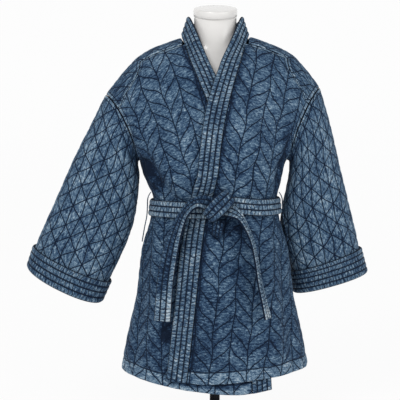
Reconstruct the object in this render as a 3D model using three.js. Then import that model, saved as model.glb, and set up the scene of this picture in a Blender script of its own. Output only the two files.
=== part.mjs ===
// A quilted indigo kimono jacket, wrapped left over right and tied with its own belt, on a limbless
// dress form with a pole and a round base. Millimetres, +Z up, front towards -Y, and +X is the
// wearer's left. The origin is the middle of the base's underside.
//
// The cloth is one surface that every piece is cut from. A place on it is (face, p, t): face is FRONT
// or BACK, p is the distance across from the centre line, and t is the distance up the cloth from the
// hem line. A piece is a wall over part of that surface, from its plain inside to its quilted outside.
import * as THREE from "three";

const { lerp, clamp, smoothstep } = THREE.MathUtils;
const RIGHT_ANGLE = Math.PI / 2;
const FRONT = -1;
const BACK = 1;

// ---- Driving sizes ----
const HEM_Z = 170; // the hem line above the floor
const UNDERARM = 517; // the underarm above the hem line
const NECK_RISE = 807; // the shoulder line's height at the neck, above the hem line
const CLOTH = 4; // two layers of denim with wadding
const PUFF = 1.3; // how far a quilted patch swells out
const CHANNEL_PUFF = 0.9; // and a channel of a band between two rows of stitches
const GROOVE = 0.9; // how far a row of stitches sinks in
const SEAM_GAP = 0.3; // between pieces that are sewn together
const CURVED_GAP = 1.2; // and where the seam curves and their facets differ
const ARMHOLE_GAP = 1.4; // and at the armholes, on the body's side
// The over-front rides over the under-front and its band, and comes down beyond the band's free edge
// and below the shoulder.
const LAP = { lift: 8.7, clear: 16, comesDown: 62, fadesFrom: 735, fadesTo: 800 };
const ROUNDNESS = 2.3; // superellipse exponent of the body's sections
const SLOPES_FROM = 0.35; // share up from the underarm where sections have turned to straight slopes
const DOME = 2.5; // superellipse exponent from the chest up to the shoulder line
const ARMHOLE_DEEP = 58; // half the armhole's depth, front to back
const SHOULDER_END = { left: 262, right: 250 }; // viewer's left and right, at the shoulder line

// The quilting: leaves between spines on the fronts, a triangle grid on the back and sleeves.
const LEAF_STEP = 21; // half a leaf column's width
const LEAF_ROW = 18; // half the distance between two leaves
const GRID_STEP = 25; // half a triangle's side, and its height

// The inside of the cloth below the armholes, by height above the hem line: half its width to the
// viewer's left and right, and its depth front and back.
const BODY = [
  { rise: -30, left: 233, right: 233, front: 151, back: 142 },
  { rise: 0, left: 227, right: 227, front: 148, back: 138 },
  { rise: 64, left: 215, right: 215, front: 142, back: 131 },
  { rise: 122, left: 202, right: 202, front: 137, back: 126 },
  { rise: 181, left: 189, right: 189, front: 132, back: 121 },
  { rise: 240, left: 182, right: 182, front: 127, back: 117 },
  { rise: 299, left: 174, right: 174, front: 121, back: 112 },
  { rise: 345, left: 160, right: 160, front: 113, back: 106 },
  { rise: 375, left: 152, right: 152, front: 107, back: 101 },
  { rise: 400, left: 149, right: 149, front: 104, back: 99 },
  { rise: 422, left: 147, right: 147, front: 104, back: 99 },
  { rise: 446, left: 157, right: 153, front: 109, back: 103 },
  { rise: 480, left: 172, right: 161, front: 116, back: 108 },
  { rise: 505, left: 178, right: 166, front: 119, back: 111 },
  { rise: UNDERARM, left: 181, right: 172, front: 120, back: 112 },
];

// The shoulder line's height above the hem line on each side, by distance out from the centre.
const RIDGE = [
  { out: 0, left: 808, right: 808 },
  { out: 60, left: NECK_RISE, right: NECK_RISE },
  { out: 90, left: 799, right: 802 },
  { out: 150, left: 777, right: 780 },
  { out: 185, left: 756, right: 761 },
  { out: 220, left: 720, right: 724 },
  { out: 262, left: 668, right: 669 },
];

// The two front edges by height along the cloth: the band's seam and free edge, and how far the
// quilting leans. The over-front comes from the viewer's right, and the under-front from the left.
const OVER_EDGE = [
  { t: -20, seam: -68, free: -117, grain: -60 },
  { t: 67, seam: -57, free: -106, grain: -52 },
  { t: 183, seam: -44, free: -93, grain: -40 },
  { t: 299, seam: -32, free: -81, grain: -29 },
  { t: 380, seam: -20, free: -68, grain: -18 },
  { t: 430, seam: -6, free: -55, grain: -8 },
  { t: 473, seam: 4, free: -44, grain: 0 },
  { t: 531, seam: 11, free: -37, grain: 11 },
  { t: 589, seam: 19, free: -30, grain: 22 },
  { t: 647, seam: 31, free: -19, grain: 33 },
  { t: 707, seam: 47, free: 0, grain: 44 },
  { t: 765, seam: 64, free: 20, grain: 54 },
  { t: 830, seam: 76, free: 44, grain: 64 },
];
const UNDER_EDGE = [
  { t: -30, seam: 84, free: 132, grain: 0 },
  { t: 67, seam: 79, free: 127, grain: 0 },
  { t: 183, seam: 70, free: 118, grain: 0 },
  { t: 299, seam: 60, free: 108, grain: 0 },
  { t: 400, seam: 47, free: 95, grain: -3 },
  { t: 473, seam: 33, free: 82, grain: -18 },
  { t: 531, seam: 18, free: 68, grain: -35 },
  { t: 589, seam: 0, free: 50, grain: -53 },
  { t: 647, seam: -20, free: 29, grain: -72 },
  { t: 707, seam: -44, free: 2, grain: -92 },
  { t: 765, seam: -65, free: -24, grain: -111 },
  { t: 830, seam: -76, free: -47, grain: -130 },
];
// How far the hem hangs below the hem line (or above it, under 0), by distance across.
const OVER_HEM = [
  { p: -140, drop: 0 },
  { p: -80, drop: 2 },
  { p: -30, drop: 6 },
  { p: 30, drop: 4 },
  { p: 100, drop: -3 },
  { p: 150, drop: -6 },
  { p: 200, drop: -9 },
  { p: 260, drop: -9 },
];
const UNDER_HEM = [
  { p: -300, drop: 0 },
  { p: -215, drop: 2 },
  { p: -160, drop: 9 },
  { p: -110, drop: 16 },
  { p: -60, drop: 23 },
  { p: 50, drop: 32 },
  { p: 140, drop: 22 },
];
const BACK_HEM = [
  { p: -260, drop: 0 },
  { p: 60, drop: 0 },
  { p: 160, drop: -5 },
  { p: 230, drop: -9 },
  { p: 260, drop: -9 },
];
const HEM_DROP_FADES_AT = 170;

// The largest folds, as soft ridges (deep above 0) and troughs from one place on the cloth to another.
const FOLDS = [
  { face: FRONT, p0: -186, t0: 520, p1: -96, t1: 410, wide: 17, deep: -11 },
  { face: FRONT, p0: -150, t0: 545, p1: -72, t1: 432, wide: 18, deep: 7 },
  { face: FRONT, p0: -205, t0: 640, p1: -182, t1: 560, wide: 17, deep: 6 },
  { face: FRONT, p0: 196, t0: 560, p1: 150, t1: 440, wide: 18, deep: -7 },
  { face: FRONT, p0: 150, t0: 500, p1: 110, t1: 435, wide: 18, deep: 5 },
  { face: FRONT, p0: -185, t0: 330, p1: -205, t1: 20, wide: 24, deep: -7 },
  { face: FRONT, p0: 165, t0: 320, p1: 192, t1: 20, wide: 26, deep: -7 },
  { face: FRONT, p0: 100, t0: 330, p1: 130, t1: 40, wide: 26, deep: 5 },
  { face: BACK, p0: -120, t0: 350, p1: -165, t1: 10, wide: 26, deep: -8 },
  { face: BACK, p0: -25, t0: 345, p1: -40, t1: 10, wide: 28, deep: 7 },
  { face: BACK, p0: 60, t0: 350, p1: 85, t1: 10, wide: 26, deep: -8 },
  { face: BACK, p0: 150, t0: 345, p1: 190, t1: 30, wide: 24, deep: 6 },
  { face: BACK, p0: -80, t0: 430, p1: -130, t1: 560, wide: 20, deep: 6 },
  { face: BACK, p0: 40, t0: 432, p1: 70, t1: 590, wide: 20, deep: -6 },
];
const FOLD_END = 45; // a fold fades out over this length
const FOLD_CLEAR = 34; // and within this distance of a side seam or armhole
const FOLD_TURN = 0.55; // folds stand out more to the front and back than to the sides

// The yoke seam on the front, by share of the height from underarm to shoulder line: how far out it
// lies, as a share of the shoulder's end. The back's shoulder pieces come over to it.
const YOKE_TOP = 0.925;
const YOKE_LOW = 0.62;
const YOKE_SEAM = [
  { share: YOKE_LOW, out: 0.85 },
  { share: 0.7, out: 0.81 },
  { share: 0.75, out: 0.755 },
  { share: 0.8, out: 0.71 },
  { share: 0.85, out: 0.683 },
  { share: YOKE_TOP, out: 0.672 },
];
// Half the neck opening, by distance along the cloth from the back neckline over the shoulder line.
const NECK_START = 72; // from the back neckline up to the shoulder line
const NECK = [
  { along: 0, half: 46 },
  { along: 18, half: 66 },
  { along: 36, half: 76 },
  { along: 54, half: 81 },
  { along: 72, half: 83 },
  { along: 130, half: 79 },
];

// The collar band: width, thickness and where it stands free of the fronts round the neck. Each row
// is a place on its seam and on its free edge, from the chest round to the centre back.
const BAND = { thick: 4.6, channels: 4, leavesCloth: 745, station: 36 };
const BAND_NECK = [
  { seamX: 69, seamY: -50, seamRise: 777, freeX: 42, freeY: -60, freeRise: 810 },
  { seamX: 77, seamY: -22, seamRise: 804, freeX: 57, freeY: -30, freeRise: 846 },
  { seamX: 78, seamY: 8, seamRise: 809, freeX: 63, freeY: 0, freeRise: 856 },
  { seamX: 68, seamY: 36, seamRise: 801, freeX: 57, freeY: 31, freeRise: 851 },
  { seamX: 39, seamY: 56, seamRise: 792, freeX: 36, freeY: 52, freeRise: 842 },
  { seamX: 0, seamY: 62, seamRise: 788, freeX: 0, freeY: 60, freeRise: 838 },
];

// The sleeves: the wide ends of each section, out along the arm and in along the underarm, with the
// section's middle, half its depth front to back and how much lower its front hangs. The last row is
// the sleeve's edge.
const SLEEVE = {
  left: [
    { outX: -262, outRise: 668, inX: -181, inRise: 517, y: 0, deep: 58, hang: 0 },
    { outX: -274, outRise: 645, inX: -192, inRise: 505, y: 0, deep: 58, hang: 0 },
    { outX: -297, outRise: 598, inX: -189, inRise: 468, y: -2, deep: 57, hang: 0 },
    { outX: -323, outRise: 548, inX: -192, inRise: 428, y: -4, deep: 56, hang: 0 },
    { outX: -348, outRise: 496, inX: -197, inRise: 390, y: -6, deep: 56, hang: 0 },
    { outX: -372, outRise: 442, inX: -206, inRise: 350, y: -8, deep: 57, hang: 0 },
    { outX: -395, outRise: 390, inX: -221, inRise: 308, y: -10, deep: 58, hang: 0 },
    { outX: -416, outRise: 345, inX: -241, inRise: 263, y: -11, deep: 60, hang: 2 },
    { outX: -434, outRise: 302, inX: -262, inRise: 220, y: -12, deep: 62, hang: 6 },
    { outX: -451, outRise: 252, inX: -285, inRise: 170, y: -13, deep: 63, hang: 12 },
  ],
  right: [
    { outX: 250, outRise: 684, inX: 172, inRise: 517, y: 0, deep: 58, hang: 0 },
    { outX: 259, outRise: 657, inX: 186, inRise: 508, y: 3, deep: 58, hang: 0 },
    { outX: 276, outRise: 604, inX: 186, inRise: 473, y: 12, deep: 58, hang: 0 },
    { outX: 292, outRise: 546, inX: 179, inRise: 430, y: 22, deep: 59, hang: 0 },
    { outX: 308, outRise: 486, inX: 171, inRise: 386, y: 34, deep: 60, hang: 0 },
    { outX: 324, outRise: 430, inX: 169, inRise: 344, y: 45, deep: 61, hang: 0 },
    { outX: 339, outRise: 376, inX: 176, inRise: 303, y: 55, deep: 62, hang: 0 },
    { outX: 352, outRise: 330, inX: 188, inRise: 266, y: 63, deep: 63, hang: 0 },
    { outX: 362, outRise: 288, inX: 198, inRise: 232, y: 69, deep: 63, hang: 0 },
    { outX: 380, outRise: 224, inX: 211, inRise: 174, y: 74, deep: 63, hang: 0 },
  ],
};
const SLEEVE_ROUND = 2.2;
const SLEEVE_ENDS_AT = 8.2; // section where the sleeve ends, inside its cuff
const CUFF = { from: 8.02, to: 9, thick: 4.4, clear: 0.5, channels: { left: 4, right: 5 } };
const SLEEVE_LINES = 20; // stitched lines along the sleeve, a triangle's height apart
const SLEEVE_STEPS = 16; // half triangles' sides along it

// The belt: a flat stitched strap round the waist, tied in a half knot with two hanging tails.
const BELT = { middle: 396, width: 39, thick: 4.6, channels: 3, clear: 2.2, endX: 14, station: 26 };
// It climbs round the back to the viewer's right, and again from there up to the knot.
const BELT_RISE = { side: 5, height: 8, from: 110, to: 20 };
const ON_LAP = { from: 60, to: 5 }; // where it climbs onto the over-front, short of the free edge
// Each row is the middle of the strap, in x, y and height above the hem line, the way its width runs
// (turn, in degrees from level, seen from the front, and swing, how far that way comes forward).
const LEFT_TAIL = [
  { x: -1, y: -132, rise: 405, turn: -122, swing: 3, width: 33 },
  { x: -21, y: -134, rise: 415, turn: -112, swing: 12, width: 35 },
  { x: -46, y: -139, rise: 414, turn: -70, swing: 52, width: 36 },
  { x: -67, y: -142, rise: 397, turn: -45, swing: 58, width: 37 },
  { x: -82, y: -140, rise: 370, turn: -25, swing: 52, width: 38 },
  { x: -97, y: -139, rise: 328, turn: -12, swing: 38, width: 39 },
  { x: -108, y: -140, rise: 283, turn: -6, swing: 22, width: 39 },
  { x: -117, y: -143, rise: 230, turn: -3, swing: 10, width: 39 },
  { x: -124, y: -147, rise: 142, turn: -3, swing: 4, width: 39 },
];
const RIGHT_TAIL = [
  { x: 13, y: -130, rise: 401, turn: 68, swing: -3, width: 32 },
  { x: 33, y: -138, rise: 396, turn: 60, swing: -34, width: 35 },
  { x: 54, y: -144, rise: 381, turn: 48, swing: -66, width: 37 },
  { x: 70, y: -147, rise: 353, turn: 28, swing: -76, width: 38 },
  { x: 82, y: -149, rise: 322, turn: 15, swing: -78, width: 38 },
  { x: 91, y: -151, rise: 280, turn: 10, swing: -77, width: 38 },
  { x: 98, y: -153, rise: 235, turn: 8, swing: -75, width: 38 },
  { x: 108, y: -157, rise: 190, turn: 10, swing: -72, width: 38 },
  { x: 117, y: -161, rise: 150, turn: 12, swing: -68, width: 38 },
];
const KNOT_WRAP = [
  { x: 31, y: -131, rise: 431, turn: -46, swing: 0, width: 36 },
  { x: 25, y: -145, rise: 426, turn: -46, swing: 0, width: 39 },
  { x: 12, y: -154, rise: 414, turn: -46, swing: 0, width: 42 },
  { x: -3, y: -155, rise: 399, turn: -46, swing: 0, width: 41 },
  { x: -13, y: -146, rise: 388, turn: -46, swing: 0, width: 36 },
  { x: -19, y: -133, rise: 383, turn: -46, swing: 0, width: 31 },
];
const KNOT_END = [
  { x: 7, y: -130, rise: 374, turn: 0, swing: -6, width: 24 },
  { x: 5, y: -134, rise: 360, turn: -3, swing: -10, width: 26 },
  { x: 1, y: -135, rise: 338, turn: 6, swing: -14, width: 22 },
];
const BELT_LOOP = { wide: 7, thick: 1.6 };
const LOOP_LINE = [
  { rise: 310, out: 178 },
  { rise: 345, out: 172 },
  { rise: 372, out: 166.5 },
  { rise: 396, out: 164.8 },
  { rise: 414, out: 164 },
  { rise: 424, out: 161 },
  { rise: 432, out: 156 },
];
const LOOP_STATION = 15;

// The dress form by height above the hem line: half its width, and its depth front and back.
const FORM = [
  { rise: 150, half: 128, front: 86, back: 84, lean: 0, tilt: 0 },
  { rise: 156, half: 136, front: 93, back: 91, lean: 0, tilt: 0 },
  { rise: 230, half: 150, front: 97, back: 97, lean: 0, tilt: 0 },
  { rise: 300, half: 146, front: 92, back: 95, lean: 0, tilt: 0 },
  { rise: 400, half: 120, front: 82, back: 80, lean: 0, tilt: 0 },
  { rise: 470, half: 128, front: 88, back: 84, lean: 0, tilt: 0 },
  { rise: 560, half: 146, front: 100, back: 92, lean: 0, tilt: 0 },
  { rise: 640, half: 158, front: 96, back: 86, lean: 0, tilt: 0 },
  { rise: 700, half: 166, front: 80, back: 68, lean: 0, tilt: 0 },
  { rise: 735, half: 162, front: 66, back: 56, lean: 0, tilt: 0 },
  { rise: 758, half: 142, front: 57, back: 50, lean: 0, tilt: 2 },
  { rise: 777, half: 98, front: 52, back: 48, lean: -2, tilt: 5 },
  { rise: 792, half: 66, front: 50, back: 49, lean: -4, tilt: 8 },
  { rise: 810, half: 54, front: 49, back: 49, lean: -8, tilt: 11 },
  { rise: 838, half: 51, front: 48, back: 48, lean: -14, tilt: 15 },
  { rise: 856, half: 51, front: 48, back: 48, lean: -19, tilt: 17 },
];
const FORM_ROUND = 28; // points round the form
const FORM_EXPONENT = 2.15; // of its superellipse sections
const NECK_CAP = { radius: 52.5, tall: 18, edge: 4, gap: 0.4 };
const POLE_RADIUS = 12.5;
const BASE = { radius: 160, thick: 10, boss: 26, bossTall: 26, bevel: 3 };

const COLOUR = {
  leafCloth: 0x6d86a0,
  gridCloth: 0x66809b,
  trim: 0x7a92ab,
  form: 0xe6e4e2,
  steel: 0x1b1c1f,
};

// ---- Small tools ----
const vec = (x, y, z) => new THREE.Vector3(x, y, z);
const mix = (a, b, share) => a.clone().lerp(b, share);
const away = (point, direction, distance) => point.clone().addScaledVector(direction, distance);
const sideOf = (x) => (x < 0 ? "left" : "right");

// A smooth function through one column of a table, straight on beyond its ends.
function through(table, key, column) {
  const at = table.map((row) => row[key]);
  const value = table.map((row) => row[column]);
  const last = at.length - 1;
  const slope = at.map((_, i) => {
    const before = Math.max(i - 1, 0);
    const after = Math.min(i + 1, last);
    return (value[after] - value[before]) / (at[after] - at[before]);
  });
  return (x) => {
    if (x <= at[0]) return value[0] + slope[0] * (x - at[0]);
    if (x >= at[last]) return value[last] + slope[last] * (x - at[last]);
    let i = 0;
    while (x > at[i + 1]) i += 1;
    const span = at[i + 1] - at[i];
    const s = (x - at[i]) / span;
    const rest = 1 - s;
    return (
      value[i] * rest * rest * (1 + 2 * s) +
      slope[i] * span * s * rest * rest +
      value[i + 1] * s * s * (3 - 2 * s) -
      slope[i + 1] * span * s * s * rest
    );
  };
}

// The same, by row number, for every column of a table.
function rowsThrough(table) {
  const numbered = table.map((row, i) => ({ ...row, i }));
  const columns = Object.keys(table[0]).map((name) => [name, through(numbered, "i", name)]);
  return (i) => Object.fromEntries(columns.map(([name, at]) => [name, at(i)]));
}

// The lengths along a curve given at 0 to 1, and the way back from a length to 0 to 1.
function measured(curve, steps = 48) {
  const lengths = [0];
  let before = curve(0);
  for (let i = 1; i <= steps; i += 1) {
    const point = curve(i / steps);
    lengths.push(lengths[i - 1] + point.distanceTo(before));
    before = point;
  }
  const total = lengths[steps];
  const shareAt = (length) => {
    let i = 0;
    while (i < steps - 1 && lengths[i + 1] < length) i += 1;
    return (i + (length - lengths[i]) / (lengths[i + 1] - lengths[i])) / steps;
  };
  const lengthAt = (share) => {
    const i = Math.min(Math.floor(share * steps), steps - 1);
    return lerp(lengths[i], lengths[i + 1], share * steps - i);
  };
  return { total, shareAt, lengthAt };
}

// ---- The cloth's surface ----
const bodyHalf = { left: through(BODY, "rise", "left"), right: through(BODY, "rise", "right") };
const bodyDeep = { [FRONT]: through(BODY, "rise", "front"), [BACK]: through(BODY, "rise", "back") };
const ridgeRise = { left: through(RIDGE, "out", "left"), right: through(RIDGE, "out", "right") };

// From the underarm to the shoulder line the centre line is a quarter superellipse.
function domePoint(face, share) {
  const angle = share * RIGHT_ANGLE;
  const deep = bodyDeep[face](UNDERARM) * Math.cos(angle) ** (2 / DOME);
  return vec(0, deep, (NECK_RISE - UNDERARM) * Math.sin(angle) ** (2 / DOME));
}
const dome = {
  [FRONT]: measured((s) => domePoint(FRONT, s)),
  [BACK]: measured((s) => domePoint(BACK, s)),
};
const SHOULDER_T = { [FRONT]: UNDERARM + dome[FRONT].total, [BACK]: UNDERARM + dome[BACK].total };

// How far up t is between underarm and shoulder line, as a share of the height.
function shareUp(face, t) {
  const angle = clamp(dome[face].shareAt(t - UNDERARM), 0, 1) * RIGHT_ANGLE;
  return Math.sin(angle) ** (2 / DOME);
}
function heightAlong(face, share) {
  const angle = Math.asin(share ** (DOME / 2));
  return UNDERARM + dome[face].lengthAt(angle / RIGHT_ANGLE);
}

// A point of the row at t, from the centre line (u 0) to the side seam or armhole (u 1).
function rowPoint(face, side, t, u) {
  const sign = side === "left" ? -1 : 1;
  const reach = Math.sin(u * RIGHT_ANGLE) ** (2 / ROUNDNESS);
  const fall = 1 - reach ** ROUNDNESS;
  if (t <= UNDERARM) {
    const deep = bodyDeep[face](t) * Math.max(fall, 0) ** (1 / ROUNDNESS);
    return vec(sign * bodyHalf[side](t) * reach, face * deep, HEM_Z + t);
  }
  const share = shareUp(face, t);
  const x = lerp(bodyHalf[side](UNDERARM), SHOULDER_END[side], share) * reach;
  const centre = bodyDeep[face](UNDERARM) * Math.max(1 - share ** DOME, 0) ** (1 / DOME);
  const edge = ARMHOLE_DEEP * 2 * Math.sqrt(Math.max(share * (1 - share), 0));
  const flat = lerp(1 / ROUNDNESS, 1, smoothstep(share, 0, SLOPES_FROM));
  const deep = edge + (centre - edge) * Math.max(fall, 0) ** flat;
  return vec(sign * x, face * deep, HEM_Z + UNDERARM + (ridgeRise[side](x) - UNDERARM) * share);
}

const rowCache = new Map();
function row(face, side, t) {
  const name = `${face} ${side} ${t.toFixed(3)}`;
  if (!rowCache.has(name)) rowCache.set(name, measured((u) => rowPoint(face, side, t, u)));
  return rowCache.get(name);
}

// How far across the side seam or armhole is, and where x lies on a row.
const reachAcross = (face, side, t) => row(face, side, t).total;
function acrossAt(face, side, t, x) {
  const half = bodyHalf[side];
  const end = t <= UNDERARM ? half(t) : lerp(half(UNDERARM), SHOULDER_END[side], shareUp(face, t));
  const reach = clamp(Math.abs(x) / end, 0, 1);
  return row(face, side, t).lengthAt(Math.asin(reach ** (ROUNDNESS / 2)) / RIGHT_ANGLE);
}

// A fold is a soft ridge or trough along a line on the cloth.
function foldHeight(face, p, t, edge) {
  let sum = 0;
  for (const fold of FOLDS.filter((f) => f.face === face)) {
    const dp = fold.p1 - fold.p0;
    const dt = fold.t1 - fold.t0;
    const long = Math.hypot(dp, dt);
    const s = ((p - fold.p0) * dp + (t - fold.t0) * dt) / long;
    const off = ((p - fold.p0) * dt - (t - fold.t0) * dp) / long;
    const begins = smoothstep(s, -FOLD_END / 2, FOLD_END);
    const ends = 1 - smoothstep(s, long - FOLD_END, long + FOLD_END / 2);
    sum += fold.deep * begins * ends * Math.exp(-((off / fold.wide) ** 2));
  }
  return sum * smoothstep(edge - Math.abs(p), 0, FOLD_CLEAR);
}

// The inside of the cloth at (face, p, t). Past the side seam it runs on round the other face, past
// an armhole straight on, and past the shoulder line the back comes down the front.
function clothPoint(face, p, t) {
  if (face === BACK && t > SHOULDER_T[BACK])
    return clothPoint(FRONT, p, SHOULDER_T[FRONT] - (t - SHOULDER_T[BACK]));
  const side = sideOf(p);
  const sign = side === "left" ? -1 : 1;
  const edge = reachAcross(face, side, t);
  const past = Math.abs(p) - edge;
  if (past > 0 && t <= UNDERARM)
    return clothPoint(-face, sign * (reachAcross(-face, side, t) - past), t);
  if (past > 0) {
    const end = rowPoint(face, side, t, 1);
    const before = clothPoint(face, sign * (edge - 1), t);
    return away(end, end.clone().sub(before), past);
  }
  const point = rowPoint(face, side, t, row(face, side, t).shareAt(Math.abs(p)));
  const outward = vec(point.x * FOLD_TURN, point.y, 0).normalize();
  return away(point, outward, foldHeight(face, p, t, edge));
}

function surfaceNormal(face, p, t) {
  const step = 2;
  const across = clothPoint(face, p + step, t).sub(clothPoint(face, p - step, t));
  const up = clothPoint(face, p, t + step).sub(clothPoint(face, p, t - step));
  return across.cross(up).normalize().multiplyScalar(-face);
}

// ---- The sleeves' surface ----
const sleeveRows = { left: rowsThrough(SLEEVE.left), right: rowsThrough(SLEEVE.right) };
const SLEEVE_GAP = 0.05; // sections, about a millimetre; twice that at the underarm
const SLEEVE_BLEND = 1.6; // sections over which the armhole's shape turns into the sleeve's own

// The armhole's edge at an angle round the sleeve: 0 at the shoulder, half a turn at the underarm,
// and the front at a quarter turn.
function armholePlace(side, angle) {
  const face = Math.sin(angle) >= 0 ? FRONT : BACK;
  const share = clamp((1 + Math.cos(angle)) / 2, 0, 1);
  const t = Math.min(heightAlong(face, share), SHOULDER_T[face]);
  return { face, t, point: rowPoint(face, side, t, 1) };
}

function sleevePoint(side, angle, section) {
  const at = sleeveRows[side](section);
  const cos = Math.cos(angle);
  const sin = Math.sin(angle);
  const wide = Math.sign(cos) * Math.abs(cos) ** (2 / SLEEVE_ROUND);
  const deep = Math.sign(sin) * Math.abs(sin) ** (2 / SLEEVE_ROUND);
  const own = vec(
    lerp(at.inX, at.outX, (1 + wide) / 2),
    at.y - at.deep * deep,
    HEM_Z + lerp(at.inRise, at.outRise, (1 + wide) / 2) - at.hang * Math.max(deep, 0),
  );
  const share = smoothstep(section, 0, SLEEVE_BLEND);
  if (share >= 1) return own;
  const start = sleeveRows[side](0);
  const edge = armholePlace(side, angle).point;
  const moved = vec(
    edge.x + lerp(at.inX - start.inX, at.outX - start.outX, (1 + cos) / 2),
    edge.y + at.y,
    edge.z + lerp(at.inRise - start.inRise, at.outRise - start.outRise, (1 + cos) / 2),
  );
  return mix(moved, own, share);
}

function sleeveNormal(side, angle, section) {
  const turn = 0.02;
  const step = 0.03;
  const from = Math.max(section, step);
  const round = sleevePoint(side, angle + turn, from).sub(sleevePoint(side, angle - turn, from));
  const along = sleevePoint(side, angle, from + step).sub(sleevePoint(side, angle, from - step));
  return round.cross(along).normalize().multiplyScalar(side === "left" ? -1 : 1);
}

// At the armhole, body and sleeve share the way through the cloth, half way between their own.
const SEAM_LOOK = 0.35; // sections along the sleeve where its own way is taken
const LONGEST = 1.8; // times the wall's thickness, measured along that way
function seamOutward(side, angle) {
  const { face, t, point } = armholePlace(side, angle);
  const body = surfaceNormal(face, Math.sign(point.x) * (reachAcross(face, side, t) - 3), t);
  const sleeve = sleeveNormal(side, angle, SEAM_LOOK);
  const middle = body.clone().add(sleeve).normalize();
  return { middle, longer: Math.min(LONGEST, 1 / Math.max(middle.dot(body), 1 / LONGEST)) };
}

// The way through the cloth at a place on the body, and how much longer it is near an armhole.
const ARMHOLE_TURN = 34; // distance over which it swings to the seam's own direction
function outwardAt(face, p, t) {
  const side = sideOf(p);
  const over = face === BACK && t > SHOULDER_T[BACK];
  const realFace = over ? FRONT : face;
  const realT = over ? SHOULDER_T[FRONT] - (t - SHOULDER_T[BACK]) : t;
  const normal = surfaceNormal(face, p, t);
  const inside = reachAcross(realFace, side, realT) - Math.abs(p);
  const distance = Math.hypot(Math.max(inside, 0), Math.max(UNDERARM - realT, 0));
  if (distance >= ARMHOLE_TURN) return { direction: normal, longer: 1 };
  const share = realT <= UNDERARM ? 0 : shareUp(realFace, realT);
  const angle = Math.acos(clamp(2 * share - 1, -1, 1)) * (realFace === FRONT ? 1 : -1);
  const { middle, longer } = seamOutward(side, angle);
  const weight = (1 - distance / ARMHOLE_TURN) ** 2;
  return { direction: mix(normal, middle, weight).normalize(), longer: lerp(1, longer, weight) };
}

// ---- Walls ----
const SAME_PLACE = 0.01;

// A mesh as it is built: points, and triangles that face out.
class Wall {
  constructor() {
    this.points = [];
    this.triangles = [];
  }

  add(point) {
    this.points.push(point);
    return this.points.length - 1;
  }

  // Triangles between two chains of points, each {at, id} in order, with low's way on the right.
  join(low, high, slopeUp = () => true) {
    const sameColumn = (a, b) => a.column !== undefined && a.column === b.column;
    let i = 0;
    let k = 0;
    while (i < low.length - 1 || k < high.length - 1) {
      const a = low[i + 1];
      const b = high[k + 1];
      const square = a && b && sameColumn(a, b) && low[i].column === high[k].column;
      if (square && slopeUp(low[i].column)) {
        this.triangles.push([low[i].id, a.id, b.id], [low[i].id, b.id, high[k].id]);
        i += 1;
        k += 1;
      } else if (square) {
        this.triangles.push([low[i].id, a.id, high[k].id], [a.id, b.id, high[k].id]);
        i += 1;
        k += 1;
      } else if (a && (!b || a.at <= b.at)) {
        this.triangles.push([low[i].id, a.id, high[k].id]);
        i += 1;
      } else {
        this.triangles.push([low[i].id, b.id, high[k].id]);
        k += 1;
      }
    }
  }

  geometry() {
    const places = this.points.flatMap((point) => point.toArray());
    const geometry = new THREE.BufferGeometry();
    geometry.setAttribute("position", new THREE.Float32BufferAttribute(places, 3));
    geometry.setIndex(this.triangles.flat());
    geometry.computeVertexNormals();
    return geometry;
  }
}

// The edge round one skin of a panel, as point ids with the distance gone, from its first point.
function edgeRound(triangles, flat) {
  const next = new Map();
  const inner = new Set(triangles.flatMap(([a, b, c]) => [`${b} ${a}`, `${c} ${b}`, `${a} ${c}`]));
  for (const [a, b, c] of triangles)
    for (const [from, to] of [[a, b], [b, c], [c, a]])
      if (!inner.has(`${from} ${to}`)) next.set(from, to);
  const lowLeft = (id) => flat(id).y + flat(id).x / 100;
  const first = [...next.keys()].reduce((best, id) => (lowLeft(id) < lowLeft(best) ? id : best));
  const loop = [{ id: first, at: 0 }];
  for (let id = next.get(first); ; id = next.get(id)) {
    const before = loop[loop.length - 1];
    loop.push({ id, at: before.at + flat(id).distanceTo(flat(before.id)) });
    if (id === first) return loop;
  }
}

// Splits the triangles on each edge that crosses a patch, at the point that middleOf makes there.
function swellPatches(triangles, middleOf) {
  const middles = new Map();
  return triangles.flatMap((triangle) => {
    for (let k = 0; k < 3; k += 1) {
      const [a, b, c] = [triangle[k], triangle[(k + 1) % 3], triangle[(k + 2) % 3]];
      const name = [a, b].sort((x, y) => x - y).join(" ");
      if (!middles.has(name)) middles.set(name, middleOf(a, b));
      const middle = middles.get(name);
      if (middle !== null) return [[a, middle, c], [middle, b, c]];
    }
    return [triangle];
  });
}

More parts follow.
